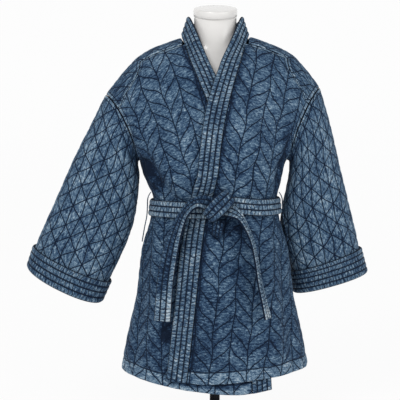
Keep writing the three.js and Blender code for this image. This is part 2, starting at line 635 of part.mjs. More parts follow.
// A panel is cut from the cloth row by row. Between two rows it has one or more spans, each with its
// left and right ends on the lower and the upper row. Its skin is made once outside and once inside.
// A row is {t, count}: count is how many rows of the quilting lie below it.
const NARROWEST = 0.4; // of a column, next to an edge
function panelSkin(wall, panel, rows, step, place, quilted) {
  const spans = rows.slice(0, -1).map((row, j) => panel.spans(row.t, rows[j + 1].t));
  const flat = new Map();
  const lattice = new Map();
  const grain = (t) => (panel.grain ? panel.grain(t) : 0);
  const made = rows.map(({ t, count }, j) => {
    const touching = [
      ...(spans[j - 1] || []).map((s) => [s.left[1], s.right[1]]),
      ...(spans[j] || []).map((s) => [s.left[0], s.right[0]]),
    ];
    const ends = [...new Set(touching.flat().map((p) => Number(p.toFixed(3))))];
    const low = Math.min(...ends);
    const high = Math.max(...ends);
    const points = ends.map((p) => ({ at: p }));
    for (let column = Math.ceil((low - grain(t)) / step); column * step + grain(t) <= high; column += 1) {
      const p = column * step + grain(t);
      const inSpan = touching.some(([a, b]) => p > a && p < b);
      if (inSpan && ends.every((end) => Math.abs(end - p) > NARROWEST * step)) points.push({ at: p, column });
    }
    points.sort((a, b) => a.at - b.at);
    for (const point of points) {
      point.id = wall.add(place(point.at, t, quilted ? panel.relief(point.column, count) : 0));
      flat.set(point.id, new THREE.Vector2(point.at, t));
      lattice.set(point.id, { column: point.column, count });
    }
    return points;
  });
  const skin = new Wall();
  spans.forEach((list, j) => {
    for (const { left, right } of list) {
      const within = (points, end) =>
        points.filter(({ at }) => at > left[end] - SAME_PLACE && at < right[end] + SAME_PLACE);
      const slopeUp = (column) => panel.slopeUp(column, rows[j].count);
      skin.join(within(made[j], 0), within(made[j + 1], 1), slopeUp);
    }
  });
  const middleOf = (a, b) => {
    const [low, high] = [a, b].sort((x, y) => lattice.get(x).count - lattice.get(y).count);
    const { column, count } = lattice.get(low);
    const top = lattice.get(high);
    const whole = Number.isInteger(count) && top.count === count + 1;
    if (column === undefined || column !== top.column || !whole) return null;
    const spot = flat.get(low).clone().lerp(flat.get(high), patchMiddle(column, count));
    return wall.add(place(spot.x, spot.y, PUFF));
  };
  const triangles = quilted && panel.patches ? swellPatches(skin.triangles, middleOf) : skin.triangles;
  return { triangles, loop: edgeRound(triangles, (id) => flat.get(id)) };
}

// A panel's outside triangles run anticlockwise seen from the front when p grows to the right.
function panelWall(panel) {
  const wall = new Wall();
  const outside = panelSkin(wall, panel, panel.rows, panel.step, panel.outside, true);
  const inside = panelSkin(wall, panel, panel.insideRows, panel.step, panel.inside, false);
  wall.triangles.push(...outside.triangles, ...inside.triangles.map(([a, b, c]) => [a, c, b]));
  const scale = outside.loop[outside.loop.length - 1].at / inside.loop[inside.loop.length - 1].at;
  inside.loop.forEach((point) => { point.at *= scale; });
  wall.join(inside.loop, outside.loop);
  if (panel.face === BACK) wall.triangles = wall.triangles.map(([a, b, c]) => [a, c, b]);
  return wall.geometry();
}

// ---- Fronts and back ----
const overSeam = through(OVER_EDGE, "t", "seam");
const overFree = through(OVER_EDGE, "t", "free");
const underSeam = through(UNDER_EDGE, "t", "seam");
const underFree = through(UNDER_EDGE, "t", "free");
const overDrop = through(OVER_HEM, "p", "drop");
const underDrop = through(UNDER_HEM, "p", "drop");
const backDrop = through(BACK_HEM, "p", "drop");
const yokeOut = through(YOKE_SEAM, "share", "out");
const neckHalf = through(NECK, "along", "half");

// Near the hem the rows follow the hem's own curve, and still end on the side seam.
function hung(face, drop, p, t) {
  const side = sideOf(p);
  const low = t - drop(p) * (1 - smoothstep(t, 0, HEM_DROP_FADES_AT));
  if (t > HEM_DROP_FADES_AT) return { across: p, low };
  return { across: (p * reachAcross(face, side, low)) / reachAcross(face, side, t), low };
}

// How far the over-front and its band stand off the surface.
function lapLift(p, t) {
  const pastBand = underFree(t) + LAP.clear;
  const across = 1 - smoothstep(p, pastBand, pastBand + LAP.comesDown);
  return LAP.lift * across * (1 - smoothstep(t, LAP.fadesFrom, LAP.fadesTo));
}

// The outer end of a front's row: the side seam, then the armhole, then the yoke seam.
function frontOuterEnd(side, t) {
  const edge = reachAcross(FRONT, side, t);
  const share = t <= UNDERARM ? 0 : shareUp(FRONT, t);
  if (share <= YOKE_LOW) return edge - (t > UNDERARM ? ARMHOLE_GAP : SEAM_GAP);
  return Math.min(edge - ARMHOLE_GAP, acrossAt(FRONT, side, t, yokeOut(share) * SHOULDER_END[side]));
}

// Leaves: stitched spines every other column, and slanting lines that fall away from every second
// one. A leaf is fullest on the columns between, at odd counts on one side of a spine.
const leafRelief = (column, count) => {
  const onSpine = column !== undefined && column % 2 === 0;
  if (column === undefined || count === 0 || onSpine) return -GROOVE;
  return lerp(-GROOVE, PUFF, 1 - Math.abs(1 - (count % 2)));
};
const leafSlopesUp = (column) => (((column % 4) + 4) % 4) >= 2;

const evenly = (from, to, step) => {
  const count = Math.round((to - from) / step);
  return Array.from({ length: count + 1 }, (_, i) => lerp(from, to, i / count));
};
// Rows at even heights, and more of them where an armhole's edge turns.
const TURN_STEPS = [0, 4, 13];
const evenRows = (from, to, step, base = 0) =>
  evenly(from, to, step).map((t, i) => ({ t, count: base + i }));
function withTurns(rows, turns) {
  const counts = through(rows, "t", "count");
  const near = (t) => rows.some((row) => Math.abs(row.t - t) < TURN_STEPS[1]);
  const extra = turns.filter((t) => !near(t)).map((t) => ({ t, count: counts(t), turn: true }));
  return [...rows, ...extra].sort((a, b) => a.t - b.t);
}
// The inside has every few rows, and all of them at the waist and where the cloth turns over the shoulder.
const WAIST_FROM = 375;
const WAIST_TO = 500;
const SHOULDER_FROM = 640;
function insideRowsOf(rows, every) {
  const turns = (t) => (t > WAIST_FROM && t < WAIST_TO) || t > SHOULDER_FROM;
  return rows.filter((row, i) => row.turn || i % every === 0 || i === rows.length - 1 || turns(row.t));
}
const frontRows = withTurns(
  evenRows(0, heightAlong(FRONT, YOKE_TOP) - CURVED_GAP / 2, LEAF_ROW),
  TURN_STEPS.map((step) => UNDERARM + step),
);

function frontPanel({ side, seam, drop, grain, lift }) {
  const rows = frontRows;
  const ends = (t) => {
    const outer = frontOuterEnd(side, t);
    return side === "left" ? [-outer, seam(t) - SEAM_GAP] : [seam(t) + SEAM_GAP, outer];
  };
  const spot = (p, t, raised) => {
    const { across, low } = hung(FRONT, drop, p, t);
    const { direction, longer } = outwardAt(FRONT, across, low);
    return away(clothPoint(FRONT, across, low), direction, lift(p, t) + raised * longer);
  };
  return panelWall({
    face: FRONT,
    rows,
    insideRows: insideRowsOf(rows, 3),
    step: LEAF_STEP,
    grain,
    spans: (t0, t1) => [{ left: [ends(t0)[0], ends(t1)[0]], right: [ends(t0)[1], ends(t1)[1]] }],
    inside: (p, t) => spot(p, t, 0),
    outside: (p, t, relief) => spot(p, t, CLOTH + relief),
    relief: leafRelief,
    slopeUp: leafSlopesUp,
  });
}

function overFront() {
  const grain = through(OVER_EDGE, "t", "grain");
  return frontPanel({ side: "right", seam: overSeam, drop: overDrop, grain, lift: lapLift });
}
function underFront() {
  const grain = through(UNDER_EDGE, "t", "grain");
  return frontPanel({ side: "left", seam: underSeam, drop: underDrop, grain, lift: () => 0 });
}

// The back runs from the hem over the shoulder line and down to the yoke seams on the front.
function backPanel() {
  const neckline = SHOULDER_T[BACK] - NECK_START;
  const over = SHOULDER_T[BACK] + SHOULDER_T[FRONT];
  const up = evenRows(0, neckline, GRID_STEP);
  const shoulder = evenRows(neckline, over - frontRows.at(-1).t - CURVED_GAP, GRID_STEP, up.length - 1);
  const last = shoulder.at(-1).count;
  const down = frontRows.filter((row) => row.t > heightAlong(FRONT, YOKE_LOW)).reverse().slice(1);
  const rows = withTurns(
    [...up, ...shoulder.slice(1), ...down.map(({ t }, i) => ({ t: over - t, count: last + i + 1 }))],
    [...TURN_STEPS.map((step) => UNDERARM + step), ...TURN_STEPS.map((step) => SHOULDER_T[BACK] - step)],
  );
  const yoke = shoulder.at(-1).t;
  const onFront = (t) => SHOULDER_T[FRONT] - (t - SHOULDER_T[BACK]);
  const outer = (side, t) => {
    if (t > SHOULDER_T[BACK]) return reachAcross(FRONT, side, onFront(t)) - ARMHOLE_GAP;
    return reachAcross(BACK, side, t) - (t > UNDERARM ? ARMHOLE_GAP : SEAM_GAP);
  };
  const inner = (side, t, above) => {
    if (above < yoke + 1) return neckHalf(t - neckline);
    return Math.min(frontOuterEnd(side, onFront(t)) + CURVED_GAP, outer(side, t) - 1);
  };
  const spans = (t0, t1) => {
    const ends = ["left", "right"].map((side) => [outer(side, t0), outer(side, t1)]);
    if (t1 < neckline + 1) return [{ left: ends[0].map((p) => -p), right: ends[1] }];
    return [
      { left: ends[0].map((p) => -p), right: [-inner("left", t0, t1), -inner("left", t1, t1)] },
      { left: [inner("right", t0, t1), inner("right", t1, t1)], right: ends[1] },
    ];
  };
  const spot = (p, t, raised) => {
    const { across, low } = hung(BACK, backDrop, p, t);
    const { direction, longer } = outwardAt(BACK, across, low);
    return away(clothPoint(BACK, across, low), direction, raised * longer);
  };
  return panelWall({
    face: BACK,
    rows,
    insideRows: insideRowsOf(rows, 2),
    patches: true,
    step: GRID_STEP,
    spans,
    inside: (p, t) => spot(p, t, 0),
    outside: (p, t, relief) => spot(p, t, CLOTH + relief),
    relief: gridRelief,
    slopeUp: gridSlopesUp,
  });
}

// The triangle grid: stitched lines along every row, and slanting ones between corners, which lie
// where column and count are both even or both odd. Between two rows a patch rises to its middle, a
// third of the way from its base to its corner.
const gridCornerAt = (column, count) => (((column + count) % 2) + 2) % 2 === 0;
const patchMiddle = (column, count) => (gridCornerAt(column, count) ? 2 / 3 : 1 / 3);
function gridRelief(column, count) {
  const part = count % 1;
  if (column === undefined || part === 0) return -GROOVE;
  const middle = patchMiddle(column, Math.floor(count));
  return lerp(-GROOVE, PUFF, part < middle ? part / middle : (1 - part) / (1 - middle));
}
const gridSlopesUp = (column, count) => gridCornerAt(column, Math.floor(count));

// ---- Sleeves, as tubes ----
// Stitched lines run along a sleeve, so its patches lie between two lines, with a triangle's half
// side from one ring to the next. insideRings says which rings the inside has.
function tubeWall({ lines, rings, place, insideRings, turnsOut }) {
  const wall = new Wall();
  const lattice = new Map();
  const ring = (j, raised) => {
    const points = Array.from({ length: lines }, (_, i) => {
      const id = wall.add(place(i, j, raised));
      lattice.set(id, { i, j });
      return { at: i, column: i, id };
    });
    return [...points, { ...points[0], at: lines, column: lines }];
  };
  const outside = new Wall();
  const outer = Array.from({ length: rings }, (_, j) => ring(j, CLOTH - GROOVE));
  for (let j = 0; j < rings - 1; j += 1)
    outside.join(outer[j], outer[j + 1], (column) => gridCornerAt(column, j));
  const middleOf = (a, b) => {
    const { i, j } = lattice.get(a);
    const other = lattice.get(b);
    if (j !== other.j || j === 0 || j === rings - 1) return null;
    const wraps = Math.abs(other.i - i) > 1;
    const first = wraps ? Math.max(i, other.i) : Math.min(i, other.i);
    return wall.add(place(first + patchMiddle(first, j), j, CLOTH + PUFF));
  };
  const inner = insideRings.map((j) => ring(j, 0));
  const inside = new Wall();
  for (let j = 0; j < inner.length - 1; j += 1) inside.join(inner[j], inner[j + 1]);
  wall.triangles = [
    ...swellPatches(outside.triangles, middleOf),
    ...inside.triangles.map(([a, b, c]) => [a, c, b]),
  ];
  wall.join(inner[0], outer[0]);
  wall.join(outer.at(-1), inner.at(-1));
  if (turnsOut) wall.triangles = wall.triangles.map(([a, b, c]) => [a, c, b]);
  return wall.geometry();
}

// The way through the cloth on a sleeve, which starts as the armhole's own.
const SEAM_FADES = 0.9; // sections from the armhole
function sleeveOutward(side, angle, section) {
  const own = sleeveNormal(side, angle, section);
  const share = smoothstep(section, 0, SEAM_FADES);
  if (share >= 1) return { direction: own, longer: 1 };
  const { middle, longer } = seamOutward(side, angle);
  return { direction: mix(middle, own, share).normalize(), longer: lerp(longer, 1, share) };
}

function sleeve(side) {
  const last = SLEEVE_STEPS;
  const place = (i, j, raised) => {
    const angle = (i / SLEEVE_LINES) * 2 * Math.PI;
    const startGap = SLEEVE_GAP * (1 + (1 - Math.cos(angle)) / 2);
    const section = Math.max((j / last) * SLEEVE_ENDS_AT, startGap);
    const { direction, longer } = sleeveOutward(side, angle, section);
    return away(sleevePoint(side, angle, section), direction, raised * longer);
  };
  const insideRings = evenly(0, last, 1).filter((j) => j % 2 === 0 || j < 4);
  return tubeWall({ lines: SLEEVE_LINES, rings: last + 1, place, insideRings, turnsOut: side === "left" });
}

// ---- Ribbons: stitched straps, bands and cuffs ----
// Points across a ribbon: swollen in the middle of each channel, sunk at each row of stitches.
function channelProfile(channels) {
  const count = channels * 2;
  return Array.from({ length: count + 1 }, (_, i) => ({
    across: i / count,
    relief: i % 2 === 0 ? -GROOVE : CHANNEL_PUFF,
  }));
}

// stations: a list of functions from across (0 to 1) to the inner point and the way out.
function ribbonWall({ stations, thick, channels, closed = false, turned = false }) {
  const wall = new Wall();
  const profile = channelProfile(channels);
  const loops = stations.map((station) => {
    const outer = profile.map(({ across, relief }) => {
      const { point, out } = station(across);
      return { at: across, id: wall.add(away(point, out, thick + relief)) };
    });
    const inner = [0, 0.5, 1].map((across) => ({ at: across, id: wall.add(station(across).point) }));
    return { outer, inner };
  });
  const count = loops.length;
  for (let j = 0; j < (closed ? count : count - 1); j += 1) {
    const here = loops[j];
    const next = loops[(j + 1) % count];
    const quads = (a, b) => {
      for (let i = 0; i < a.length - 1; i += 1)
        wall.triangles.push([a[i].id, a[i + 1].id, b[i + 1].id], [a[i].id, b[i + 1].id, b[i].id]);
    };
    quads(here.outer, next.outer);
    quads([...here.inner].reverse(), [...next.inner].reverse());
    quads([here.inner[0], here.outer[0]], [next.inner[0], next.outer[0]]);
    quads([here.outer.at(-1), here.inner.at(-1)], [next.outer.at(-1), next.inner.at(-1)]);
  }
  if (!closed) {
    wall.join(loops[0].inner, loops[0].outer);
    wall.triangles.push(...capOf(loops[count - 1]));
  }
  if (turned) wall.triangles = wall.triangles.map(([a, b, c]) => [a, c, b]);
  return wall.geometry();
}

function capOf({ inner, outer }) {
  const cap = new Wall();
  cap.join(inner, outer);
  return cap.triangles.map(([a, b, c]) => [a, c, b]);
}

function cuff(side) {
  const lift = CLOTH + PUFF + CUFF.clear;
  const stations = Array.from({ length: SLEEVE_LINES }, (_, i) => (across) => {
    const angle = (i / SLEEVE_LINES) * 2 * Math.PI;
    const section = lerp(CUFF.from, CUFF.to, across);
    const out = sleeveNormal(side, angle, section);
    return { point: away(sleevePoint(side, angle, section), out, lift), out };
  });
  const channels = CUFF.channels[side];
  return ribbonWall({ stations, thick: CUFF.thick, channels, closed: true, turned: side === "right" });
}

// A strap by the middle of its inner side, with its width turned and swung.
const NEARBY = 0.05; // rows before and after a place, to find the strap's way
function strapStations(table, count) {
  const at = rowsThrough(table);
  const last = table.length - 1;
  const middle = (i) => {
    const r = at(i);
    return vec(r.x, r.y, HEM_Z + r.rise);
  };
  return Array.from({ length: count }, (_, k) => (across) => {
    const i = (k / (count - 1)) * last;
    const r = at(i);
    const turn = THREE.MathUtils.degToRad(r.turn);
    const swing = THREE.MathUtils.degToRad(r.swing);
    const along = middle(i + NEARBY).sub(middle(i - NEARBY)).normalize();
    const asked = vec(Math.cos(turn) * Math.cos(swing), -Math.sin(swing), Math.sin(turn) * Math.cos(swing));
    const wide = asked.addScaledVector(along, -asked.dot(along)).normalize();
    const out = along.clone().cross(wide).normalize();
    return { point: away(middle(i), wide, (across - 0.5) * r.width), out };
  });
}
function strap(table, count) {
  const stations = strapStations(table, count);
  return ribbonWall({ stations, thick: BELT.thick, channels: BELT.channels, turned: true });
}

// The belt round the waist, from just right of the knot round the back to just left of it.
function beltWaist() {
  const t = BELT.middle;
  const reach = { [FRONT]: reachAcross(FRONT, "right", t), [BACK]: reachAcross(BACK, "right", t) };
  const long = 2 * (reach[FRONT] - BELT.endX) + 2 * reach[BACK];
  const count = Math.round(long / BELT.station);
  const onLap = (p) => smoothstep(p, overFree(t) - ON_LAP.from, overFree(t) - ON_LAP.to) * lapLift(p, t);
  const lift = (face, p) => (face === FRONT ? onLap(p) : 0) + CLOTH + PUFF + BELT.clear;
  const stations = Array.from({ length: count + 1 }, (_, i) => (across) => {
    const gone = (i / count) * long;
    const level = t + (across - 0.5) * BELT.width;
    const onRight = reach[FRONT] - BELT.endX;
    let face = BACK;
    let p = reach[BACK] - (gone - onRight);
    if (gone <= onRight) {
      face = FRONT;
      p = BELT.endX + gone;
    } else if (gone > onRight + 2 * reach[BACK]) {
      face = FRONT;
      p = -reach[FRONT] + (gone - onRight - 2 * reach[BACK]);
    }
    const onRightHalf = face === FRONT && p > 0 ? 1 : 0;
    const round = face === BACK ? smoothstep(p, -reach[BACK], reach[BACK]) : onRightHalf;
    const near = onRightHalf * (1 - smoothstep(p, BELT_RISE.to, BELT_RISE.from));
    const climb = BELT_RISE.side * round + BELT_RISE.height * near;
    const scaled = (p / reach[face]) * reachAcross(face, sideOf(p), level);
    const normal = surfaceNormal(face, scaled, t);
    const out = vec(normal.x, normal.y, 0).normalize();
    const flat = clothPoint(face, scaled, level);
    return { point: away(flat.setZ(flat.z + climb), out, lift(face, p)), out };
  });
  return ribbonWall({ stations, thick: BELT.thick, channels: BELT.channels, turned: true });
}

// A narrow loop at a side seam that the belt runs through.
function beltLoop(side) {
  const sign = side === "left" ? -1 : 1;
  const out = through(LOOP_LINE, "rise", "out");
  const rises = evenly(LOOP_LINE[0].rise, LOOP_LINE.at(-1).rise, LOOP_STATION);
  const stations = rises.map((rise) => (across) => ({
    point: vec(sign * out(rise), (across - 0.5) * BELT_LOOP.wide, HEM_Z + rise),
    out: vec(sign, 0, 0),
  }));
  return ribbonWall({ stations, thick: BELT_LOOP.thick + GROOVE, channels: 1, turned: side === "left" });
}

// ---- The collar band ----
const bandNeck = rowsThrough(BAND_NECK);

// A station on a front: the band lies on the cloth from its seam to its free edge.
function bandOnFront(sign, t) {
  const over = sign > 0;
  const seam = over ? overSeam : underSeam;
  const free = over ? overFree : underFree;
  const drop = over ? overDrop : underDrop;
  return (share) => {
    const p = lerp(seam(t) - sign * CURVED_GAP, free(t), share);
    const { across, low } = hung(FRONT, drop, p, t);
    const out = surfaceNormal(FRONT, across, low);
    return { point: away(clothPoint(FRONT, across, low), out, over ? lapLift(p, t) : 0), out };
  };
}

// A station round the neck, on the viewer's right (sign 1) or left.
function bandAtNeck(sign, i) {
  const edges = (k) => {
    const mirrored = Math.abs(k) > BAND_NECK.length - 1 ? -1 : 1;
    const row = bandNeck(mirrored < 0 ? 2 * (BAND_NECK.length - 1) - k : k);
    return {
      seam: vec(sign * mirrored * row.seamX, row.seamY, HEM_Z + row.seamRise),
      free: vec(sign * mirrored * row.freeX, row.freeY, HEM_Z + row.freeRise),
    };
  };
  return (across) => {
    const here = edges(i);
    const ahead = edges(i + 0.1);
    const behind = edges(i - 0.1);
    const along = mix(ahead.seam, ahead.free, across).sub(mix(behind.seam, behind.free, across));
    const out = along.cross(here.free.clone().sub(here.seam)).normalize().multiplyScalar(sign);
    return { point: mix(here.seam, here.free, across), out };
  };
}

function collarBand() {
  const top = BAND.leavesCloth;
  const onFront = evenly(0, top, BAND.station);
  const neckStations = evenly(0, BAND_NECK.length - 1, 0.5);
  const stations = [
    ...onFront.map((t) => bandOnFront(1, t)),
    ...neckStations.map((i) => bandAtNeck(1, i)),
    ...neckStations.slice(0, -1).reverse().map((i) => bandAtNeck(-1, i)),
    ...onFront.reverse().map((t) => bandOnFront(-1, t)),
  ];
  return ribbonWall({ stations, thick: BAND.thick, channels: BAND.channels, turned: true });
}

// ---- The dress form and its stand ----
function formTorso() {
  const wall = new Wall();
  const rings = FORM.map((section) =>
    Array.from({ length: FORM_ROUND }, (_, i) => {
      const angle = (i / FORM_ROUND) * 2 * Math.PI;
      const cos = Math.cos(angle);
      const sin = Math.sin(angle);
      const deep = sin < 0 ? section.front : section.back;
      const x = section.half * Math.sign(cos) * Math.abs(cos) ** (2 / FORM_EXPONENT);
      const y = deep * Math.sign(sin) * Math.abs(sin) ** (2 / FORM_EXPONENT);
      const tilt = THREE.MathUtils.degToRad(section.tilt);
      const z = HEM_Z + section.rise + y * Math.sin(tilt);
      return wall.add(vec(x, section.lean + y * Math.cos(tilt), z));
    }),
  );
  for (let j = 0; j < rings.length - 1; j += 1)
    for (let i = 0; i < FORM_ROUND; i += 1) {
      const k = (i + 1) % FORM_ROUND;
      wall.triangles.push([rings[j][i], rings[j][k], rings[j + 1][k]]);
      wall.triangles.push([rings[j][i], rings[j + 1][k], rings[j + 1][i]]);
    }
  for (let i = 1; i < FORM_ROUND - 1; i += 1) {
    wall.triangles.push([rings[0][0], rings[0][i + 1], rings[0][i]]);
    wall.triangles.push([rings.at(-1)[0], rings.at(-1)[i], rings.at(-1)[i + 1]]);
  }
  return wall.geometry();
}

function turned(profile, segments) {
  const outline = profile.map(([radius, height]) => new THREE.Vector2(radius, height));
  return new THREE.LatheGeometry(outline, segments).rotateX(RIGHT_ANGLE);
}

function neckCap() {
  const { radius, tall, edge } = NECK_CAP;
  const rounded = [radius - edge * 0.4, tall - edge * 0.3];
  return turned([[0, 0], [radius, 0], [radius, tall - edge], rounded, [radius - edge, tall], [0, tall]], 24);
}

function pole() {
  const bottom = BASE.thick + BASE.bossTall + SEAM_GAP;
  const top = HEM_Z + FORM[0].rise - SEAM_GAP;
  return turned([[0, bottom], [POLE_RADIUS, bottom], [POLE_RADIUS, top], [0, top]], 20);
}

function base() {
  const { radius, thick, boss, bossTall, bevel } = BASE;
  const top = thick + bossTall;
  const plate = [[0, 0], [radius, 0], [radius, thick - bevel], [radius - bevel, thick]];
  const socket = [[boss, thick], [boss, top - bevel], [boss - bevel, top], [0, top]];
  return turned([...plate, ...socket], 32);
}

// ---- The whole object ----
const cloth = (color) => new THREE.MeshStandardMaterial({ color, roughness: 0.92, metalness: 0 });
const leafCloth = cloth(COLOUR.leafCloth);
const gridCloth = cloth(COLOUR.gridCloth);
const trim = cloth(COLOUR.trim);
const plastic = new THREE.MeshStandardMaterial({ color: COLOUR.form, roughness: 0.25, metalness: 0 });
const steel = new THREE.MeshStandardMaterial({ color: COLOUR.steel, roughness: 0.45, metalness: 0.6 });

function mesh(name, geometry, material, position = vec(0, 0, 0), tilt = 0) {
  const made = new THREE.Mesh(geometry, material);
  made.name = name;
  made.position.copy(position);
  made.rotation.x = tilt;
  return made;
}

const jacket = new THREE.Group();
jacket.add(
  mesh("front_over", overFront(), leafCloth),
  mesh("front_under", underFront(), leafCloth),
  mesh("back", backPanel(), gridCloth),
  mesh("collar_band", collarBand(), trim),
);
for (const side of ["left", "right"]) {
  jacket.add(
    mesh(`sleeve_${side}`, sleeve(side), gridCloth),
    mesh(`cuff_${side}`, cuff(side), trim),
    mesh(`belt_loop_${side}`, beltLoop(side), trim),
  );
}
jacket.add(
  mesh("belt_waist", beltWaist(), trim),
  mesh("belt_knot", strap(KNOT_WRAP, 12), trim),
  mesh("belt_knot_end", strap(KNOT_END, 5), trim),
  mesh("belt_tail_left", strap(LEFT_TAIL, 16), trim),
  mesh("belt_tail_right", strap(RIGHT_TAIL, 16), trim),
);

const neckTop = FORM.at(-1);
const neckTilt = THREE.MathUtils.degToRad(neckTop.tilt);
const capPlace = vec(0, -Math.sin(neckTilt), Math.cos(neckTilt))
  .multiplyScalar(NECK_CAP.gap)
  .add(vec(0, neckTop.lean, HEM_Z + neckTop.rise));
const stand = new THREE.Group();
stand.add(
  mesh("form_torso", formTorso(), plastic),
  mesh("form_neck_cap", neckCap(), plastic, capPlace, neckTilt),
  mesh("stand_pole", pole(), steel),
  mesh("stand_base", base(), steel),
);

const garmentOnForm = new THREE.Group();
garmentOnForm.add(jacket, stand);
export default garmentOnForm;
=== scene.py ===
"""A quilted indigo kimono jacket, wrapped left over right and tied with its own belt, on a white dress form.

Shapes are worked out in millimetres, +Z up, front towards -Y, and made in metres. A place on the body's
cloth is (face, p, t): p is the distance across from the centre line, and t the distance up from the hem.
"""
import math

import bpy
import numpy as np
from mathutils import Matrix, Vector


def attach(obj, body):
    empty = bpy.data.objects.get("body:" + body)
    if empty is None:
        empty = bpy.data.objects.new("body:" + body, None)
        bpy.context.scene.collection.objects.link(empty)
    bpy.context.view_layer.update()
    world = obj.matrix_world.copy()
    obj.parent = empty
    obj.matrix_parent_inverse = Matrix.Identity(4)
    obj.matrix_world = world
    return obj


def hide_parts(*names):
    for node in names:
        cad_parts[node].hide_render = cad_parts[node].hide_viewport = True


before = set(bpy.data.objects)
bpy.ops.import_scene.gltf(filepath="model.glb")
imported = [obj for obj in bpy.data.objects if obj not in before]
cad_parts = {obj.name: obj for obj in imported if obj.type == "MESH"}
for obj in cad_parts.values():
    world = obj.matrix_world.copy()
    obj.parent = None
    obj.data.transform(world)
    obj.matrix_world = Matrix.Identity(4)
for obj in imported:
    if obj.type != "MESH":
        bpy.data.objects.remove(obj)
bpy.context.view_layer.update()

MM = 0.001
QUARTER = math.pi / 2
FRONT, BACK = -1, 1
LEFT, RIGHT = 0, 1  # as seen from the front

# ---- Sizes, in millimetres ----
HEM_Z = 170  # the hem line above the floor
UNDERARM = 517  # the underarm above the hem line
NECK_RISE = 807  # the shoulder line's height at the neck
CLOTH = 4.0  # two layers of denim with wadding
PUFF = 1.3  # how far a quilted patch swells out
GROOVE = 0.9  # how far a row of stitches sinks in
SEAM_GAP = 0.3  # between two straight edges
CURVED_GAP = 1.2  # and between two curved ones
SEWN_GAP = 0.3  # a front and its band are drawn this much nearer than their solids
ARMHOLE_GAP = 1.4
LAP = {"lift": 8.7, "clear": 16, "comes_down": 62, "fades_from": 735, "fades_to": 800}
ROUNDNESS = 2.3  # the exponent of a row's section
DOME = 2.5  # and of the body's outline from the side, above the underarm
ARMHOLE_DEEP = 58  # how far an armhole reaches forward and back
ARMHOLE_TURN = 34  # how far from it the body's cloth starts to turn into the sleeve
SHOULDER_END = np.array([262.0, 250.0])  # how far out the shoulder line ends, left and right
YOKE_TOP = 0.925  # the share of the way up to the shoulder line at which a front ends
YOKE_LOW = 0.62  # and at which its yoke seam leaves the armhole
SHOULDER_FLATTENS = 0.35  # the share of the way up at which a row's section is a shoulder's
NECK_START = 72  # the back's neckline is this far below its shoulder line
HEM_DROP_FADES_AT = 170  # the rows above it are level
HEM_STITCH = 27  # the hem's row of stitches, above the edge
HEM_FURROW = {"deep": 1.2, "wide": 3}
TURNED_EDGE = {"deep": 1.2, "wide": 4}  # edges are turned in, so a wall is thinner there
TOPSTITCHED_FROM = UNDERARM - 30  # the armhole's topstitching starts here
FAR = 1000.0  # a mark that is nowhere near
SLEEVE_ROUND = 2.2  # the exponent of a sleeve's section
SLEEVE_BLEND = 1.6  # the row of its table by which it leaves the armhole's shape
SLEEVE_GAP = 0.05  # how far from the armhole it starts, in rows
SLEEVE_ENDS_AT = 8.2  # inside its cuff
CUFF = {"start": 8.02, "end": 9.0, "thick": 4.4, "clear": 0.5}
CUFF_ROWS = [{"channels": 4, "wide": 53}, {"channels": 5, "wide": 66}]  # left, right
BAND = {"thick": 4.6, "channels": 4, "leaves_cloth": 745, "station": 24, "wide": 49}
BELT = {"middle": 396, "wide": 39, "thick": 4.6, "channels": 3, "clear": 2.2, "end": 14}
BELT_RISE = {"side": 5, "height": 8, "start": 110, "end": 20}  # it climbs towards its knot
ON_LAP = {"start": 60, "end": 5}  # how far before the over-front's edge it climbs onto it
LOOP = {"wide": 7, "thick": 2.5, "thinner": 1.0, "step": 3.0, "points": 9, "pattern": 3}
NECK_CAP = {"radius": 52.5, "tall": 18, "edge": 4, "gap": 0.4, "foot": 1.0}
POLE_RADIUS = 12.5
BASE = {"radius": 160, "thick": 10, "boss": 26, "boss_tall": 26, "bevel": 3, "fillet": 2}

# The quilting.
LEAF_HALF = 42  # from a spine to the next
LEAF_PITCH = 36  # between two veins along a spine
LEAF_DROP = 48  # how far a vein falls from spine to spine
LEAF_HOOK = 0.35  # how much steeper it is where it meets them
LEAF_SHIFT = 0.45  # each leaf column lies this share of the pitch off its neighbour
LEAF_SLANT = 0.68  # a vein is this much nearer than it looks along its spine
GRAIN = {"step": 5, "turn": 0.9}  # how a front's leaves turn with its edge
GRID_LINES = 25  # between the grid's straight lines
GRID_CROSS = 50  # between the points where its diagonals cross

FURROW_WIDE = 3.0  # how far from its stitches a furrow reaches
SWELL_WIDE = 12.0  # and how far off a patch is at its fullest

MESH_STEP = 3.4  # between the points of a panel
BAND_STEP = 4.0  # and of a band
BAND_SAMPLES = 8  # points across a channel
SLEEVE_MESH = {"around": 150, "along": 135, "axis_from": 8}
CUFF_POINTS = 133
FORM_MESH = {"rings": 96, "around": 96, "exponent": 2.15}
HAIR = 0.1  # less than any gap


def table(columns, *rows):
    """A short table: its column names, then a row of numbers for each section."""
    return [dict(zip(columns.split(), row)) for row in rows]


